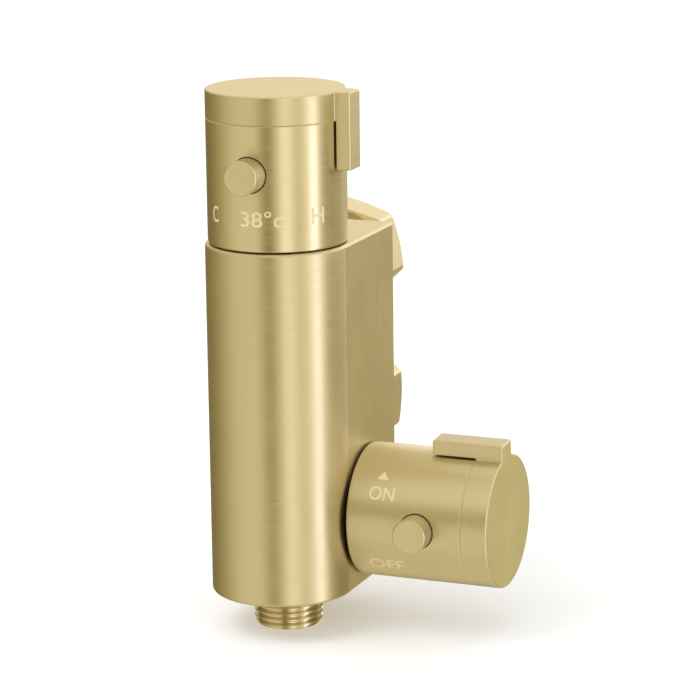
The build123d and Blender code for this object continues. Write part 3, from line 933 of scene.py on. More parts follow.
@dataclass
class Column:
    """Half-round column with its bores, and its flat back towards the wall.

    A face that lies no deeper than the skin counts as one of the outside.
    """

    finishes: Finishes
    radius: float = COLUMN_RADIUS
    depth: float = COLUMN_DEPTH
    height: float = COLUMN_HEIGHT
    top_round: float = 1.0
    foot_round: float = 1.2
    round_steps: int = 8
    cartridge_bore: Outline = stepped(36.8, (12.0, 38.18), (14.0, 102.5), (17.0, 110.0))
    headwork_bore: Outline = stepped(-34.2, (7.5, -24.2), (11.0, 2.0))
    outlet_bore: Outline = stepped(-2.0, (10.0, 9.0), (6.5, 11.4))
    inlet_bore: Outline = stepped(-31.0, (5.5, -11.3), (9.5, 2.0))
    skin: float = 1.0

    def build(self) -> bpy.types.Object:
        """Makes the column."""
        mesh = mesh_from(self._blank, COLUMN_AXIS)
        bores = (
            (self.cartridge_bore, COLUMN_AXIS),
            (self.headwork_bore, FLOW_FRAME),
            (self.outlet_bore, Matrix.Identity(4)),
            (self.inlet_bore, inlet_frame(UPPER_INLET)),
            (self.inlet_bore, inlet_frame(LOWER_INLET)),
        )
        for outline, frame in bores:
            mesh = combine(mesh, solid_turning(outline, frame), "DIFFERENCE")
        place = Place("valve", "column_brass", ("valve_body",))
        finishes = (
            self.finishes.column_front,
            self.finishes.column_flat,
            self.finishes.column_bore,
            self.finishes.level_end,
        )
        return finish_piece("column", mesh, place, finishes, self._finish_of)

    def _blank(self, bm: bmesh.types.BMesh) -> None:
        """Shapes the column before its bores are cut.

        Args:
            bm: The mesh that gets the shape.
        """
        turn(bm, self._upright(), closed=False, angle=-math.pi)
        sides = [
            e for e in edges_where(bm, lambda v: abs(v.co.y) < TINY) if len(e.link_faces) == 1
        ]
        grown = bmesh.ops.extrude_edge_only(bm, edges=sides)["geom"]
        back = [v for v in grown if isinstance(v, bmesh.types.BMVert)]
        bmesh.ops.translate(bm, vec=(0.0, self.depth * MM, 0.0), verts=back)
        for level in (0.0, self.height):
            bm.edges.new([v for v in back if abs(v.co.z - level * MM) < TINY])
            bmesh.ops.contextual_create(bm, geom=at_height(bm, level))
        rear = edges_where(bm, lambda v: abs(v.co.y - self.depth * MM) < TINY)
        bmesh.ops.contextual_create(bm, geom=rear)
        bmesh.ops.recalc_face_normals(bm, faces=bm.faces)

    def _upright(self) -> Outline:
        """Radius and height of each point of the column's upright outline."""
        foot = [(self.radius - inset, rise) for inset, rise in self._arc(self.foot_round)]
        top = [
            (self.radius - inset, self.height - rise) for inset, rise in self._arc(self.top_round)
        ]
        return foot + top[::-1]

    def _arc(self, size: float) -> Outline:
        """Inset and rise of each point of a quarter round, from the end face to the side."""
        angles = [math.pi / 2 * step / self.round_steps for step in range(self.round_steps + 1)]
        return [(size * (1.0 - math.sin(a)), size * (1.0 - math.cos(a))) for a in angles]

    def _finish_of(self, polygon: bpy.types.MeshPolygon) -> int:
        """Number of the finish of a face: 0 round front, 1 flat sides, 2 bores, 3 ends.

        Args:
            polygon: The face.

        Returns:
            The finish's number.
        """
        x, y, z = (COLUMN_AXIS.inverted() @ polygon.center) / MM
        inside = max(abs(x), math.hypot(x, min(y, 0.0))) < self.radius - self.foot_round
        at_end = z < self.skin or z > self.height - self.skin
        if at_end and abs(polygon.normal.z) > LEVEL:
            return 3
        if inside and y < self.depth - self.skin:
            return 2
        return 1 if y > 0.0 else 0


@dataclass
class Outlet:
    """Threaded nipple under the column."""

    finishes: Finishes
    crest: float = 10.4775
    crest_clear: float = 0.02
    root: float = 9.32
    length: float = 12.0
    lead_in: float = 1.3
    bore: float = 6.5
    bore_chamfer: float = 0.4
    neck: float = 1.0
    neck_radius: float = 9.42
    neck_slope: float = 0.5
    spigot: float = 9.9
    spigot_top: float = 8.8
    groove: float = 8.16
    groove_low: float = 3.5
    groove_high: float = 5.5
    overlap: float = 0.2

    def build(self) -> bpy.types.Object:
        """Makes the nipple."""
        rod = mesh_from(
            lambda bm: thread(bm, self.crest, self.root, -self.length - SPARE, SPARE)
        )
        envelope = (
            (self.bore, -self.length + self.bore_chamfer),
            (self.bore + self.bore_chamfer, -self.length),
            (self.crest - self.lead_in, -self.length),
            (self.crest + self.crest_clear, -self.length + self.lead_in),
            (self.crest + self.crest_clear, -self.neck - self.neck_slope),
            (self.neck_radius, -self.neck),
            (self.neck_radius, self.overlap),
            (self.bore, self.overlap),
        )
        mesh = combine(rod, solid_turning(envelope), "INTERSECT")
        rework(mesh, self._spigot)
        place = Place("valve", "outlet_brass", ("outlet_nipple",))
        return finish_piece("outlet_thread", mesh, place, (self.finishes.outlet,), crease=24.0)

    def _spigot(self, bm: bmesh.types.BMesh) -> None:
        """Adds the ring that sits in the column, with the seal's groove.

        Args:
            bm: The mesh that gets the ring.
        """
        outline = (
            (self.bore, 0.0),
            (self.bore, self.spigot_top),
            (self.spigot, self.spigot_top),
            (self.spigot, self.groove_high),
            (self.groove, self.groove_high),
            (self.groove, self.groove_low),
            (self.spigot, self.groove_low),
            (self.spigot, 0.0),
        )
        turn(bm, outline)


@dataclass
class UnionNut:
    """Hexagon nut that joins an inlet to the wall fitting."""

    finishes: Finishes
    side: Side
    height: float
    angle: float
    flats: float = 30.0
    start: float = 10.8
    end: float = 24.3
    face_radius: float = 14.35
    chamfer: float = 1.9
    corner_round: float = 0.9
    lip_radius: float = 11.3
    lip_end: float = 13.3
    relief: float = 12.5
    relief_end: float = 17.8
    crest: float = 12.06
    root: float = 13.22
    tap_start: float = 16.3
    lead_in: float = 0.5
    corner_clear: float = 0.1

    def build(self) -> bpy.types.Object:
        """Makes the nut."""
        nut = combine(mesh_from(self._prism), solid_turning(self._envelope()), "INTERSECT")
        tap = mesh_from(
            lambda bm: thread(bm, self.root, self.crest, self.tap_start, self.end + SPARE)
        )
        mesh = combine(nut, tap, "DIFFERENCE")
        mesh.transform(inlet_frame(self.height))
        name = self.side.value + "_nut"
        place = Place(name, "nut_brass", (name,))
        finishes = (self.finishes.nut(self.height),)
        return finish_piece(name + "_turned", mesh, place, finishes, crease=26.0)

    def _prism(self, bm: bmesh.types.BMesh) -> None:
        """Shapes the plain hexagon bar.

        Args:
            bm: The mesh that gets the shape.
        """
        corner = self.flats / math.sqrt(3)
        rotation = Matrix.Rotation(math.radians(30.0 - self.angle), 4, "Z")
        place = Matrix.Translation(up(self.start - SPARE)) @ rotation
        bmesh.ops.create_circle(bm, cap_ends=True, radius=corner * MM, segments=6, matrix=place)
        draw_out(bm, bm.faces, self.end - self.start + 2 * SPARE)
        upright = [e for e in bm.edges if abs(e.verts[0].co.z - e.verts[1].co.z) > MM]
        soften(bm, upright, self.corner_round, 5)

    def _envelope(self) -> Outline:
        """Outline of the turned form that the hexagon is cut to, with its bore."""
        corner = self.flats / math.sqrt(3) + self.corner_clear
        return (
            (self.lip_radius, self.start),
            (self.face_radius, self.start),
            (corner, self.start + self.chamfer),
            (corner, self.end - self.chamfer),
            (self.face_radius, self.end),
            (self.crest + self.lead_in, self.end),
            (self.crest, self.end - self.lead_in),
            (self.crest, self.relief_end),
            (self.relief, self.relief_end),
            (self.relief, self.lip_end),
            (self.lip_radius, self.lip_end),
        )


@dataclass(frozen=True)
class Mark:
    """A sign on a knob's barrel, which stands out by a hair's breadth.

    It runs across from start to end and up from low to high: degrees round the barrel, and
    millimetres from the barrel's rim along it. Without a text it's an arrow. It is made as a flat
    plate and cut into slices both ways. On the barrel one face stands proud and the other is sunk.
    """

    name: str
    text: str
    start: float
    end: float
    low: float
    high: float
    weight: float = 0.004
    plate: float = 10.0
    slices: int = 24
    proud: float = 0.02
    sunk: float = 0.06


@dataclass
class Knob:
    """Knob with its barrel, its cap with the finger tab, its push button and its marks.

    The marks of an upright knob read round its barrel, those of a lying one along it.
    """

    finishes: Finishes
    side: Side
    frame: Matrix
    radius: float
    rim: float
    barrel: float
    cap: float
    tab_hang: float
    tab_turn: float
    marks: Tuple[Mark, ...]
    upright: bool = True
    wall: float = 2.0
    bevel_height: float = 0.75
    bevel_depth: float = 0.25
    seam_chamfer: float = 0.22
    tab_reach: float = 4.4
    tab_width: float = 8.2
    tab_gap: float = 0.5
    tab_round: float = 0.7
    tip_round: float = 0.45
    cap_round: float = 0.5
    blend: float = 0.4
    web_end: float = 31.2
    spigot_gap: float = 0.1
    spigot_wall: float = 1.5
    overlap: float = 0.2
    button_radius: float = 5.2
    button_proud: float = 6.2
    button_round: float = 0.6
    button_back: float = 14.2
    stem_radius: float = 2.0
    stem_end: float = 11.0
    latch_low: Tuple[float, float, float] = (-1.5, -16.0, 10.6)
    latch_high: Tuple[float, float, float] = (1.5, -14.4, BUTTON_HEIGHT)
    hole_gap: float = 0.3
    hole_slice: float = 0.35
    hole_margin: float = 0.6

    def build(self) -> List[bpy.types.Object]:
        """Makes all the pieces of the knob."""
        name = self.side.value
        body = name + "_knob"
        own = self.finishes.knobs[self.side]
        # The rounded edges' finish is a lighter brass, a painted highlight.
        edge = self.finishes.edge
        tab_frame = self.frame @ Matrix.Rotation(math.radians(self.tab_turn), 4, "Z")
        made = [
            finish_piece(
                name + "_barrel_brushed",
                mesh_from(self._barrel, self.frame),
                Place(body, "knob_brass", (name + "_barrel",)),
                (own.barrel, own.barrel, edge, own.barrel),
                lambda polygon: self._finish_of(polygon, self.frame),
            ),
            finish_piece(
                name + "_cap_brushed",
                mesh_from(self._cap, tab_frame),
                Place(body, "knob_brass", (name + "_cap",)),
                (own.cap, own.end, edge, own.tab),
                lambda polygon: self._finish_of(polygon, tab_frame),
            ),
            finish_piece(
                name + "_button_brushed",
                mesh_from(self._button, self.frame),
                Place(name + "_push", "button_brass", (name + "_button",)),
                (own.button,),
            ),
        ]
        made += [self._mark(mark, body) for mark in self.marks]
        return made

    def _finish_of(self, polygon: bpy.types.MeshPolygon, frame: Matrix) -> int:
        """Number of the finish of a face: 0 side, 1 end, 2 broken edge with a painted highlight, 3 outer
        face of the tab.

        Args:
            polygon: The face.
            frame: The frame that the piece was shaped in.

        Returns:
            The finish's number.
        """
        back = frame.inverted()
        normal = back.to_3x3() @ polygon.normal
        centre = back @ polygon.center
        if abs(normal.z) > SQUARE:
            return 1
        outside = centre.xy.length > (self.radius - self.tab_round) * MM
        on_tab = centre.x > (self.radius + self.tab_reach / 2) * MM
        slanted = abs(normal.z) > SLANTED and centre.z > self.barrel / 2 * MM
        if outside and (slanted or on_tab and max(abs(normal.x), abs(normal.y)) < NEARLY_SQUARE):
            return 2
        return 3 if on_tab and abs(normal.x) > NEARLY_SQUARE else 0

    def _barrel(self, bm: bmesh.types.BMesh) -> None:
        """Shapes the barrel with its button hole.

        Args:
            bm: The mesh that gets the shape.
        """
        inner = self.radius - self.wall
        outline = (
            (self.radius - self.bevel_depth, self.rim),
            (self.radius, self.rim + self.bevel_height),
            (self.radius, self.barrel - self.seam_chamfer),
            (self.radius - self.seam_chamfer, self.barrel),
            (inner, self.barrel),
            (inner, self.rim),
        )
        turn(bm, outline, steps=2 * ROUND)
        hole = self.button_radius + self.hole_gap
        slices = 2 * round(hole / self.hole_slice)
        for number in range(slices + 1):
            height = BUTTON_HEIGHT + (2 * number / slices - 1) * (hole + self.hole_margin)
            slice_at(bm, up(height), Z_AXIS)
        self._drill(bm, BUTTON_HEIGHT * MM, hole * MM)

    def _drill(self, bm: bmesh.types.BMesh, height: float, hole: float) -> None:
        """Opens the round hole for the button through the barrel's wall.

        Args:
            bm: The barrel.
            height: Height of the hole's middle, in metres.
            hole: The hole's radius, in metres.
        """
        def inside(face: bmesh.types.BMFace) -> bool:
            """Whether a face of the wall lies in the hole."""
            centre = face.calc_center_median()
            return centre.y < 0 and math.hypot(centre.x, centre.z - height) < hole

        gone = [f for f in bm.faces if inside(f)]
        bmesh.ops.delete(bm, geom=gone, context="FACES")
        rims = [e for e in bm.edges if len(e.link_faces) == 1]
        for vert in {v for e in rims for v in e.verts}:
            wall = vert.co.xy.length
            across = Vector((vert.co.x, vert.co.z - height)).normalized() * hole
            vert.co.x = across.x
            vert.co.z = height + across.y
            vert.co.y = -math.sqrt(wall ** 2 - across.x ** 2)
        bmesh.ops.bridge_loops(bm, edges=rims)

    def _cap(self, bm: bmesh.types.BMesh) -> None:
        """Shapes the cap and the tab that hangs beside the barrel.

        Args:
            bm: The mesh that gets the shape.
        """
        self._cap_plan(bm)
        bmesh.ops.translate(bm, vec=up(self.barrel), verts=bm.verts)
        draw_out(bm, bm.faces, self.cap, keep=True)
        root = (self.radius + self.tab_gap) * MM
        middles = {f: f.calc_center_median() for f in bm.faces}
        under = [
            f for f, m in middles.items() if abs(m.z - self.barrel * MM) < TINY and m.x > root
        ]
        draw_out(bm, under, -self.tab_hang)
        bmesh.ops.delete(bm, geom=under, context="FACES")
        self._join_top(bm)
        bmesh.ops.recalc_face_normals(bm, faces=bm.faces)
        self._soften_cap(bm)
        self._cap_spigot(bm)

    def _cap_plan(self, bm: bmesh.types.BMesh) -> None:
        """Draws the cap flat: its disc, the tab's root and the tab.

        Args:
            bm: The mesh that gets the three faces.
        """
        half = self.tab_width / 2 * MM
        outer = (self.radius + self.tab_reach) * MM
        hollow = (self.radius + self.tab_gap) * MM
        bmesh.ops.create_circle(bm, cap_ends=False, radius=self.radius * MM, segments=2 * ROUND)
        for side in (-1.0, 1.0):
            slice_at(bm, Y_AXIS * side * half, Y_AXIS)
        disc = list(bm.edges)
        root = edges_where(bm, lambda v: v.co.x > 0 and abs(v.co.y) < half + TINY)
        for flat in (False, True):
            grown = bmesh.ops.extrude_edge_only(bm, edges=root)["geom"]
            root = [e for e in grown if isinstance(e, bmesh.types.BMEdge)]
            for vert in {v for e in root for v in e.verts}:
                vert.co.x = outer if flat else math.sqrt(hollow ** 2 - vert.co.y ** 2)
        bmesh.ops.contextual_create(bm, geom=disc)
        inside = [
            e
            for e in bm.edges
            if len(e.link_faces) == 2 and not all(self._on_hollow(v) for v in e.verts)
        ]
        bmesh.ops.dissolve_edges(bm, edges=inside, use_verts=False)
        spare = [v for v in bm.verts if v.co.x > outer - TINY and abs(v.co.y) < half - NEAR]
        bmesh.ops.dissolve_verts(bm, verts=spare)

    def _cap_spigot(self, bm: bmesh.types.BMesh) -> None:
        """Adds the ring by which the cap sits in the barrel.

        Args:
            bm: The cap.
        """
        outer = self.radius - self.wall - self.spigot_gap
        inner = outer - self.spigot_wall
        top = self.barrel + self.overlap
        turn(bm, ((inner, self.web_end), (outer, self.web_end), (outer, top), (inner, top)))

    def _on_hollow(self, vert: bmesh.types.BMVert) -> bool:
        """Whether a point lies on the tab's hollow face, which faces the barrel."""
        hollow = (self.radius + self.tab_gap) * MM
        return abs(vert.co.xy.length - hollow) < TINY and vert.co.x > 0

    def _join_top(self, bm: bmesh.types.BMesh) -> None:
        """Makes the cap's top one face, without the line at the tab's root.

        Args:
            bm: The cap.
        """
        level = (self.barrel + self.cap) * MM
        line = edges_where(bm, lambda v: self._on_hollow(v) and abs(v.co.z - level) < TINY)
        bmesh.ops.dissolve_edges(bm, edges=line, use_verts=False)

    def _soften_cap(self, bm: bmesh.types.BMesh) -> None:
        """Rounds the cap's edges and blends the tab into its rim.

        Args:
            bm: The cap.
        """
        half = self.tab_width / 2 * MM
        radius = self.radius * MM
        reach = (self.radius + self.tab_reach) * MM
        corner = math.sqrt(radius ** 2 - half ** 2)

        def upright(test: Callable[[bmesh.types.BMVert], bool]) -> List[bmesh.types.BMEdge]:
            """Edges along the knob's axis, both ends of which pass a test."""
            ways = {e: e.verts[0].co - e.verts[1].co for e in edges_where(bm, test)}
            return [e for e, way in ways.items() if abs(way.z) > MM and way.xy.length < TINY]

        inner = upright(lambda v: abs(v.co.x - corner) < NEAR and abs(abs(v.co.y) - half) < NEAR)
        soften(bm, inner, self.blend, 6, clamp=False)
        outer = upright(lambda v: abs(v.co.x - reach) < TINY)
        soften(bm, outer, self.tab_round, 4, clamp=False)
        rim = [e for e in at_height(bm, self.barrel + self.cap) if len(e.link_faces) == 2]
        soften(bm, rim, self.cap_round, 4, clamp=False)
        tip = at_height(bm, self.barrel - self.tab_hang)
        soften(bm, tip, self.tip_round, 3, clamp=False)
        seam = edges_where(
            bm,
            lambda v: abs(v.co.z - self.barrel * MM) < TINY and abs(v.co.xy.length - radius) < NEAR,
        )
        soften(bm, seam, self.seam_chamfer, 1, clamp=False)

    def _button(self, bm: bmesh.types.BMesh) -> None:
        """Shapes the push button with its stem and latch.

        Args:
            bm: The mesh that gets the shape.
        """
        face = self.radius + self.button_proud
        outline = (
            (0.0, face),
            (self.button_radius, face),
            (self.button_radius, self.button_back),
            (self.stem_radius, self.button_back),
            (self.stem_radius, self.stem_end),
            (0.0, self.stem_end),
        )
        turn(bm, outline, closed=False, steps=ROUND // 2)
        soften(bm, at_height(bm, face, self.button_radius), self.button_round, 5)
        bmesh.ops.transform(bm, matrix=ACROSS, verts=bm.verts)
        block(bm, self.latch_low, self.latch_high)

    def _mark(self, mark: Mark, body: str) -> bpy.types.Object:
        """Makes one sign, bent round the barrel.

        Args:
            mark: The sign and where it stands.
            body: The body that it rides on.

        Returns:
            The sign's object.
        """
        flat = self._letters(mark) if mark.text else self._arrow(mark)
        mesh = rework(flat, lambda bm: self._bend(bm, mark))
        name = self.side.value + "_mark_" + mark.name
        return finish_piece(name, mesh, Place(body, "knob_brass", ()), (self.finishes.mark,))

    def _bend(self, bm: bmesh.types.BMesh, mark: Mark) -> None:
        """Cuts a flat sign into small squares and lays them on the barrel.

        Args:
            bm: The sign.
            mark: Where it goes.
        """
        low, high = (
            Vector((end(v.co.x for v in bm.verts), end(v.co.y for v in bm.verts), 0.0))
            for end in (min, max)
        )
        size = high - low
        for number in range(1, mark.slices):
            share = number / mark.slices
            place = [start + length * share for start, length in zip(low, size)]
            for way in (X_AXIS, Y_AXIS):
                slice_at(bm, place, way)
        for vert in bm.verts:
            across = (vert.co.x - low.x) / size.x
            up = (vert.co.y - low.y) / size.y
            depth = mark.proud if vert.co.z > 0 else -mark.sunk
            vert.co = self._on_barrel(mark, across, up, depth * MM)
        bmesh.ops.transform(bm, matrix=self.frame, verts=bm.verts)
        bmesh.ops.recalc_face_normals(bm, faces=bm.faces)

    def _on_barrel(self, mark: Mark, across: float, up: float, depth: float) -> Vector:
        """Point of a sign on the barrel, in the knob's frame.

        Args:
            mark: The sign.
            across: From 0 at its left end to 1 at its right end.
            up: From 0 at its foot to 1 at its top.
            depth: Height above the barrel, in metres.

        Returns:
            The point.
        """
        if self.upright:
            angle = math.radians(mark.start + (mark.end - mark.start) * across)
            height = mark.low + (mark.high - mark.low) * up
        else:
            angle = -math.radians(mark.low + (mark.high - mark.low) * up)
            height = mark.start + (mark.end - mark.start) * across
        reach = self.radius * MM + depth
        return Vector((math.sin(angle) * reach, -math.cos(angle) * reach, height * MM))

    def _letters(self, mark: Mark) -> bpy.types.Mesh:
        """Lettering as a thin plate.

        Args:
            mark: The sign.

        Returns:
            Its mesh, flat.
        """
        curve = bpy.data.curves.new(mark.name, "FONT")
        curve.body = mark.text
        curve.extrude = mark.plate * MM
        curve.offset = mark.weight
        curve.resolution_u = 6
        written = bpy.data.objects.new(mark.name, curve)
        bpy.context.scene.collection.objects.link(written)
        bpy.context.view_layer.update()
        graph = bpy.context.evaluated_depsgraph_get()
        mesh = bpy.data.meshes.new_from_object(written.evaluated_get(graph))
        bpy.data.objects.remove(written)
        return rework(mesh, lambda bm: bmesh.ops.remove_doubles(bm, verts=bm.verts, dist=NEAR))

    def _arrow(self, mark: Mark) -> bpy.types.Mesh:
        """Upright triangle as a thin plate.

        Args:
            mark: The sign.

        Returns:
            Its mesh, flat.
        """

        def shape(bm: bmesh.types.BMesh) -> None:
            """Adds the plate."""
            bmesh.ops.create_circle(bm, cap_ends=True, radius=1.0, segments=3)
            draw_out(bm, bm.faces, mark.plate, keep=True)

        return mesh_from(shape)


# Studio


@dataclass(frozen=True)
class Card:
    """One grey card of the ring round the valve.

    The azimuth runs from the front, 0, to the right, 90 degrees. A tone of 1 leaves the white
    backdrop as it is.
    """

    azimuth: float
    tone: float


@dataclass
class Studio:
    """Floor, white backdrop, soft lamp, grey cards and the camera.

    How steeply a direction points runs from -1, straight down, to 1, straight up. Between two such
    values the low ring of cards turns into the high one, and the rings into the tone overhead or
    beneath. What a reflection of a reflection shows is a little darker and less warm.
    """

    floor_height: float = -12.0
    floor_half: float = 6000.0
    floor_tone: float = 0.84
    floor_glow: float = 0.2
    lamp_place: Tuple[float, float, float] = (-600.0, -700.0, 1300.0)
    lamp_aim: Tuple[float, float, float] = (0.0, 0.0, 60.0)
    lamp_size: float = 900.0
    lamp_watts: float = 6.0
    camera_place: Tuple[float, float, float] = (358.31, -826.83, 286.22)
    azimuth: float = 22.18
    elevation: float = 13.32
    roll: float = 0.72
    lens: float = 158.5
    sensor: float = 36.0
    ring_change: Tuple[float, float] = (-0.10, 0.10)
    overhead: Tuple[float, float] = (0.25, 0.60)
    overhead_tone: float = 0.8
    beneath: Tuple[float, float] = (-0.50, -0.90)
    beneath_tone: float = 0.66
    green_power: float = 1.08
    blue_power: float = 1.55
    again_green: float = 0.10
    again_blue: float = 0.40
    again_loss: float = 0.25
    brightest: float = 4.0
    low_cards: Tuple[Card, ...] = (
        Card(-180, 0.49), Card(-130, 0.16), Card(-105, 0.24), Card(-80, 0.43), Card(-50, 0.75),
        Card(-10, 0.84), Card(0, 0.36), Card(9, 0.13), Card(22, 0.62), Card(34, 1.36),
        Card(44, 1.20), Card(56, 0.64), Card(68, 0.72), Card(80, 1.05), Card(84, 2.25),
        Card(90, 2.25), Card(94, 0.95), Card(106, 0.36), Card(130, 0.23), Card(150, 0.32),
        Card(162, 0.49), Card(180, 0.49),
    )
    high_cards: Tuple[Card, ...] = (
        Card(-180, 1.55), Card(-130, 0.35), Card(-100, 0.34), Card(-60, 0.50), Card(-15, 0.48),
        Card(5, 0.36), Card(25, 0.60), Card(40, 0.95), Card(58, 0.70), Card(87, 1.60),
        Card(106, 0.70), Card(130, 1.30), Card(180, 1.55),
    )

    def build(self) -> None:
        """Makes the studio."""
        bpy.context.scene.view_settings.view_transform = "Standard"
        self._floor()
        self._world()
        self._lamp()
        self._camera()

    def _floor(self) -> None:
        """Pale floor that keeps the valve's shadow."""
        half = self.floor_half * MM
        mesh = mesh_from(
            lambda bm: bmesh.ops.create_grid(bm, x_segments=2, y_segments=2, size=half),
            Matrix.Translation(up(self.floor_height)),
        )
        material = bpy.data.materials.new("studio_floor")
        nodes = Nodes(material)
        lit = nodes.add("ShaderNodeBsdfDiffuse", {"Color": (self.floor_tone,) * 3 + (1.0,)})
        seen = nodes.add("ShaderNodeLightPath").outputs["Is Camera Ray"]
        strength = nodes.math("MULTIPLY", seen, self.floor_glow)
        glow = nodes.add("ShaderNodeEmission", {"Strength": strength})
        both = nodes.add("ShaderNodeAddShader", {0: lit.outputs[0], 1: glow.outputs[0]})
        nodes.add("ShaderNodeOutputMaterial", {"Surface": both.outputs[0]})
        floor = bpy.data.objects.new("studio_floor", mesh)
        floor.data.materials.append(material)
        floor.visible_glossy = False
        bpy.context.scene.collection.objects.link(floor)

    def _ring(
        self, nodes: Nodes, azimuth: bpy.types.NodeSocket, cards: Sequence[Card]
    ) -> bpy.types.NodeSocket:
        """Tone of a ring of cards in a direction.

        Args:
            nodes: The world's nodes.
            azimuth: The direction, from 0 to 1 for the full turn.
            cards: The cards, in order.

        Returns:
            The socket with the tone.
        """
        ramp = nodes.add("ShaderNodeValToRGB", {"Fac": azimuth})
        stops = ramp.color_ramp.elements
        while len(stops) < len(cards):
            stops.new(0.5)
        for stop, card in zip(stops, cards):
            stop.position = (card.azimuth + 180.0) / 360.0
        for stop, card in zip(stops, cards):
            stop.color = (card.tone / self.brightest,) * 3 + (1.0,)
        return nodes.math("MULTIPLY", ramp.outputs["Color"], self.brightest)

    def _tone(self, nodes: Nodes) -> bpy.types.NodeSocket:
        """Tone of the cards in a direction.

        Args:
            nodes: The world's nodes.

        Returns:
            The socket with the tone.
        """
        where = nodes.add("ShaderNodeTexCoord").outputs["Generated"]
        parts = nodes.add("ShaderNodeSeparateXYZ", {"Vector": where})
        x, y, z = (parts.outputs[k] for k in "XYZ")
        turned_by = nodes.math("ARCTAN2", x, nodes.math("MULTIPLY", y, -1.0))
        azimuth = nodes.math("MULTIPLY_ADD", turned_by, 1.0 / math.tau, 0.5)
        rings = nodes.mixed(
            nodes.eased(z, *self.ring_change),
            self._ring(nodes, azimuth, self.low_cards),
            self._ring(nodes, azimuth, self.high_cards),
        )
        raised = nodes.mixed(nodes.eased(z, *self.overhead), rings, self.overhead_tone)
        return nodes.mixed(nodes.eased(z, *self.beneath), raised, self.beneath_tone)

    def _world(self) -> None:
        """White backdrop, with grey cards that only metal shows."""
        world = bpy.data.worlds.new("studio")
        bpy.context.scene.world = world
        nodes = Nodes(world)
        tone = self._tone(nodes)
        path = nodes.add("ShaderNodeLightPath")
        again = nodes.math("GREATER_THAN", path.outputs["Glossy Depth"], 1.5)
        green, blue, strength = (
            nodes.math("MULTIPLY_ADD", again, change, 1.0)
            for change in (self.again_green, self.again_blue, -self.again_loss)
        )
        tint = nodes.add(
            "ShaderNodeCombineXYZ",
            {
                "X": tone,
                "Y": nodes.math("MULTIPLY", green, nodes.math("POWER", tone, self.green_power)),
                "Z": nodes.math("MULTIPLY", blue, nodes.math("POWER", tone, self.blue_power)),
            },
        ).outputs["Vector"]
        cards = nodes.add("ShaderNodeBackground", {"Color": tint, "Strength": strength})
        white = nodes.add("ShaderNodeBackground", {"Color": (1.0, 1.0, 1.0, 1.0), "Strength": 1.0})
        both = nodes.add(
            "ShaderNodeMixShader",
            {0: path.outputs["Is Glossy Ray"], 1: white.outputs[0], 2: cards.outputs[0]},
        )
        nodes.add("ShaderNodeOutputWorld", {"Surface": both.outputs[0]})

    def _lamp(self) -> None:
        """Large soft lamp above the valve's left side."""
        light = bpy.data.lights.new("soft_lamp", "AREA")
        light.shape = "DISK"
        light.size = self.lamp_size * MM
        light.energy = self.lamp_watts
        lamp = bpy.data.objects.new("soft_lamp", light)
        lamp.location = Vector(self.lamp_place) * MM
        aim = Vector(self.lamp_aim) * MM - lamp.location
        lamp.rotation_euler = aim.to_track_quat("-Z", "Y").to_euler()
        lamp.visible_glossy = False
        bpy.context.scene.collection.objects.link(lamp)

    def _camera(self) -> None:
        """Camera at the photograph's view."""
        az, el, roll = (math.radians(a) for a in (self.azimuth, self.elevation, self.roll))
        forward = Vector((-math.sin(az) * math.cos(el), math.cos(az) * math.cos(el), -math.sin(el)))
        right = Vector((math.cos(az), math.sin(az), 0.0))
        down = forward.cross(right)
        across = right * math.cos(roll) + down * math.sin(roll)
        lower = down * math.cos(roll) - right * math.sin(roll)
        turn_matrix = Matrix((across, -lower, -forward)).transposed().to_4x4()
        data = bpy.data.cameras.new("photo_view")
        data.lens = self.lens
        data.sensor_width = self.sensor
        data.clip_start = 0.01
        data.clip_end = 50.0
        camera = bpy.data.objects.new("photo_view", data)
        camera.matrix_world = Matrix.Translation(Vector(self.camera_place) * MM) @ turn_matrix
        bpy.context.scene.collection.objects.link(camera)
        bpy.context.scene.camera = camera


# What the source shapes


class Internals:
    """The nodes' own meshes, which keep the source's shape and only get their finish."""

    def __init__(self, frame: Dict[str, object], finishes: Finishes) -> None:
        """Keeps what the finishes need.

        Args:
            finishes: The finishes.
        """
        self.nodes: Dict[str, bpy.types.Object] = frame["nodes"]
        self.subparts: List[Dict[str, str]] = frame["record"]["subparts"]
        self.finishes = finishes

    def dress(self) -> None:
        """Gives each node the finish of its material slot."""
        for part in self.subparts:
            node = self.nodes[part["node"]]
            node.data.materials.clear()
            node.data.materials.append(self.finishes.by_slot[part["material_slot"]])
            log.info("%s: %s", part["node"], part["material_slot"])


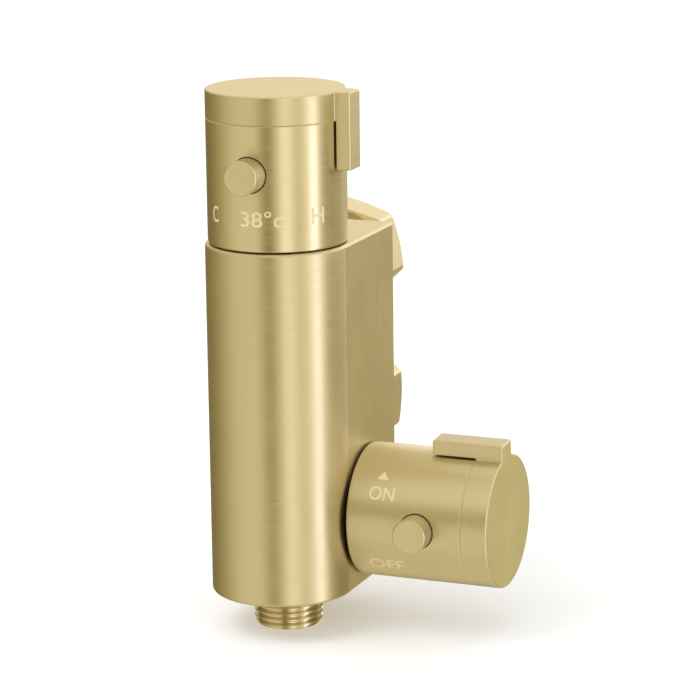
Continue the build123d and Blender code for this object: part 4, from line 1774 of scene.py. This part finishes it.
@dataclass(frozen=True)
class Spring:
    """Coil spring between two bodies, from its resting end to its moving end."""

    node: str
    rests_on: str
    moves_with: str
    axis: Vector
    slot: str = "spring_steel"

    def build(self, source: bpy.types.Object) -> bpy.types.Object:
        """Makes the spring from its node's own mesh.

        Args:
            source: The node, already dressed.

        Returns:
            The spring's object.
        """
        mesh = rework(source.data.copy(), self._weld)
        mesh.name = self.node + "_coil"
        coil = bpy.data.objects.new(self.node + "_coil", mesh)
        bpy.context.scene.collection.objects.link(coil)
        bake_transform(coil)
        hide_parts(self.node)
        log.info("%s: %d faces", coil.name, len(mesh.polygons))
        return coil

    def _weld(self, bm: bmesh.types.BMesh) -> None:
        """Joins the seams of the source's mesh, so that its wire looks round.

        Args:
            bm: The spring.
        """
        bmesh.ops.remove_doubles(bm, verts=bm.verts, dist=TINY)
        for face in bm.faces:
            face.smooth = True


SPRINGS = (
    Spring("temp_button_spring", "temp_knob", "temp_push", -Y_AXIS),
    Spring("flow_button_spring", "flow_knob", "flow_push", -Y_AXIS),
    Spring("return_spring", "valve", "traveller", Z_AXIS),
    Spring("overtravel_spring", "traveller", "element", -Z_AXIS),
    Spring("upper_poppet_spring", "valve", "upper_poppet", Y_AXIS),
    Spring("lower_poppet_spring", "valve", "lower_poppet", Y_AXIS),
)
TEMP_MARKS = (
    Mark("cold", "C", start=-41.0, end=-32.5, low=7.5, high=12.3),
    Mark("middle", "38°c", start=-7.5, end=28.0, low=7.4, high=12.2, weight=0.008),
    Mark("hot", "H", start=52.3, end=64.1, low=7.7, high=12.7),
)
FLOW_MARKS = (
    Mark("arrow", "", start=8.4, end=12.2, low=42.2, high=50.2),
    Mark("on", "ON", start=7.0, end=14.9, low=23.8, high=35.7),
    Mark("off", "OFF", start=6.4, end=17.4, low=-43.3, high=-31.0),
)


def main(frame: Dict[str, object]) -> None:
    """Builds the valve's looks and the studio.
    """
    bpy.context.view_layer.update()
    finishes = Finishes()
    Internals(frame, finishes).dress()
    for spring in SPRINGS:
        spring.build(frame["nodes"][spring.node])
    Column(finishes).build()
    Outlet(finishes).build()
    UnionNut(finishes, Side.UPPER, height=UPPER_INLET, angle=43.0).build()
    UnionNut(finishes, Side.LOWER, height=LOWER_INLET, angle=27.2).build()
    Knob(
        finishes,
        Side.TEMP,
        TEMP_FRAME,
        radius=20.8,
        rim=0.0,
        barrel=37.0,
        cap=8.55,
        tab_hang=14.5,
        tab_turn=0.0,
        marks=TEMP_MARKS,
    ).build()
    Knob(
        finishes,
        Side.FLOW,
        FLOW_FRAME,
        radius=20.25,
        rim=0.4,
        barrel=36.4,
        cap=8.3,
        tab_hang=13.8,
        tab_turn=183.5,
        marks=FLOW_MARKS,
        upright=False,
    ).build()
    Studio().build()
    log.info("size written")


if __name__ == "__main__":
    logging.basicConfig(level=logging.INFO)
    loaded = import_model()
    main(loaded)
